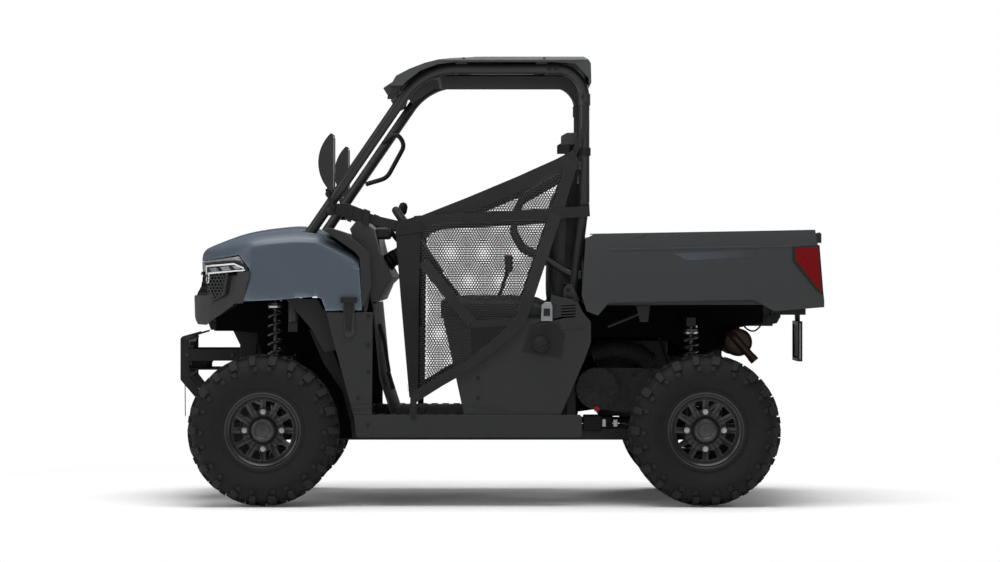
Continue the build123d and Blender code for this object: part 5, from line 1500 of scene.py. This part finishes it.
def build_rear():
    """Box release bars, the lamp cable that hangs in a loop, the plate and the hitch pin."""
    pair("release_bracket", 0.594, 0.606, "frame", body="cargo_box")
    for side, hand in SIDES:
        lever = [(x, side * 0.60, z) for x, z in photo("release_bar")]
        curve_tube(f"release_bar_{hand}", lever, 0.006, "frame", "cargo_box", bend=0.01)
    loop = [(x, -0.26, z) for x, z in photo("lamp_cable")]
    cable = curve_tube("lamp_cable", loop, 0.0035, "dark", bend=0.02)
    blocks("plate_strip", [((1.3110, -0.1530, 0.606), (1.3175, -0.1505, 0.764))], "alloy", 0.001,
           body="cargo_box")
    blocks("plate", [((1.312, -0.134, 0.613), (1.316, 0.134, 0.755))], "body", 0.001, body="cargo_box")
    turned("hitch_pin", [(0.0, 0.095), (0.0075, 0.093), (0.0075, 0.0), (0.012, -0.003), (0.012, -0.008),
                         (0.0, -0.009)], (1.150, -0.047, 0.344), (0, 1, 0), "steel", 24)


# ------------------------------------------------------------------ winch and bumper
DRUM = (-1.290, 0, 0.606)
ROPE_TURNS = 22
ROPE_PITCH = 0.006
TURN_STEPS = 24
HOOK_X = -1.3640


def build_winch():
    drum = Matrix.Translation(DRUM) @ aim((0, 1, 0))
    turns = helix(drum, 0.0365, TURN_STEPS * ROPE_TURNS, TURN_STEPS, ROPE_PITCH, -ROPE_TURNS * ROPE_PITCH / 2)
    wound = curve_tube("winch_wrap", turns, 0.0030, "rope", resolution=3)
    rope = [(-1.328, -0.01, 0.612), (-1.345, -0.005, 0.614), (-1.3605, 0.0, 0.612), (-1.3660, 0.0, 0.602)]
    line = curve_tube("winch_rope", rope, 0.0035, "rope", bend=0.006)
    hook = [(HOOK_X, y, z) for y, z in ((0.0, 0.600), (0.0, 0.575), (0.022, 0.556), (0.030, 0.535),
                                        (0.012, 0.515), (-0.012, 0.520), (-0.016, 0.540))]
    curve_tube("winch_hook", hook, 0.0062, "frame", bend=0.014)
    path = [(-1.3650, -0.012, 0.522), (-1.3650, -0.008, 0.44), (-1.3645, -0.004, 0.355)]
    strap = strap_object("hook_strap", [(path, 0.022, (1, 0, 0))], "strap_red")


def build_bumper_details():
    places = []
    for side in (-1, 1):
        for x, z in ((-1.334, 0.700), (-1.334, 0.627), (-1.140, 0.627)):
            places.append(((x, side * 0.2415, z), (0, side, 0)))
        places.append(((-1.3702, side * 0.100, 0.615), (-1, 0, 0)))
    bolts("bumper_bolts", places, 0.0065, "cast")
    pair("front_gusset", 0.256, 0.262, "frame", edge=0.001)
    pair("frame_tab", 0.256, 0.264, "alloy", edge=0.001)


# ------------------------------------------------------------------ camera, floor and light
LENS = 128.45
SENSOR = 36.0
LAMPS = (
    # name, place, target, size, watts
    ("top_softbox", (0.0, -0.3, 4.6), (0, 0, 0.6), 4.5, 360),
    ("front_softbox", (-4.6, -2.6, 2.6), (-0.6, 0, 0.8), 2.6, 70),
    ("side_softbox", (1.5, -6.5, 3.2), (0, 0, 0.7), 4.0, 55),
    ("back_softbox", (2.5, 5.0, 3.2), (0, 0, 0.8), 3.0, 110),
)


def build_camera(scene):
    """The photograph's own camera."""
    camera = bpy.data.cameras.new("camera")
    camera.lens = LENS
    camera.sensor_width = SENSOR
    camera.clip_end = 200.0
    holder = bpy.data.objects.new("camera", camera)
    holder.location = (CAMERA_X / 1000, -CAMERA_DISTANCE / 1000, CAMERA_Z / 1000)
    holder.rotation_euler = (radians(90), 0, 0)
    scene.collection.objects.link(holder)
    scene.camera = holder


def build_world(scene):
    """White where the camera sees it, dimmer where it lights the object."""
    world = bpy.data.worlds.new("studio")
    world.use_nodes = True
    scene.world = world
    nodes = world.node_tree.nodes
    rays = nodes.new("ShaderNodeLightPath").outputs
    seen = maths(nodes, "MAXIMUM", rays["Is Camera Ray"], rays["Is Transmission Ray"])
    bright = number_range(nodes, seen, 0.17, 1.0)
    back = nodes["Background"]
    feed(back, "Color", (1, 1, 1, 1))
    feed(back, "Strength", maths(nodes, "MULTIPLY_ADD", rays["Is Glossy Ray"], -0.08, bright))


def build_floor(scene):
    """A pale floor that takes the shadow and glows white away from the object."""
    mesh = bpy.data.meshes.new("floor")
    mesh.from_pydata([(-60, -20, 0), (60, -20, 0), (60, 120, 0), (-60, 120, 0)], [], [(0, 1, 2, 3)])
    floor = bpy.data.objects.new("floor", mesh)
    scene.collection.objects.link(floor)
    mat, nodes, shader = new_material("floor")
    feed(shader, "Base Color", (0.86, 0.86, 0.86, 1))
    feed(shader, "Roughness", 0.9)
    feed(shader, "Specular IOR Level", 0.1)
    away = add(nodes, "ShaderNodeVectorMath", operation="LENGTH")
    feed(away, 0, nodes.new("ShaderNodeNewGeometry").outputs["Position"])
    mix = nodes.new("ShaderNodeMixShader")
    feed(mix, "Fac", number_range(nodes, away.outputs["Value"], 0.035, 1.0, 1.3, 3.4))
    feed(mix, 1, shader.outputs["BSDF"])
    feed(mix, 2, nodes.new("ShaderNodeEmission").outputs["Emission"])
    feed(nodes["Material Output"], "Surface", mix.outputs["Shader"])
    mesh.materials.append(mat)


def build_stage():
    scene = bpy.context.scene
    scene.view_settings.view_transform = "Standard"
    build_camera(scene)
    build_world(scene)
    build_floor(scene)
    for name, at, target, size, watts in LAMPS:
        data = bpy.data.lights.new(name, "AREA")
        data.energy = watts
        data.size = size
        lamp = bpy.data.objects.new(name, data)
        lamp.location = at
        lamp.rotation_euler = (Vector(target) - Vector(at)).to_track_quat("-Z", "Y").to_euler()
        scene.collection.objects.link(lamp)


dress_nodes()
build_wheels()
build_springs()
build_nets()
build_hood()
build_nose()
build_cowl()
build_liners()
build_latches()
build_belts()
build_cage_hardware()
build_roof_hardware()
build_mirrors()
build_dash()
build_seats()
build_filler_caps()
build_side_panels()
build_box_sides()
build_bed()
build_gate()
build_engine()
build_exhaust()
build_rear()
build_shock_details()
build_winch()
build_bumper_details()
build_stage()
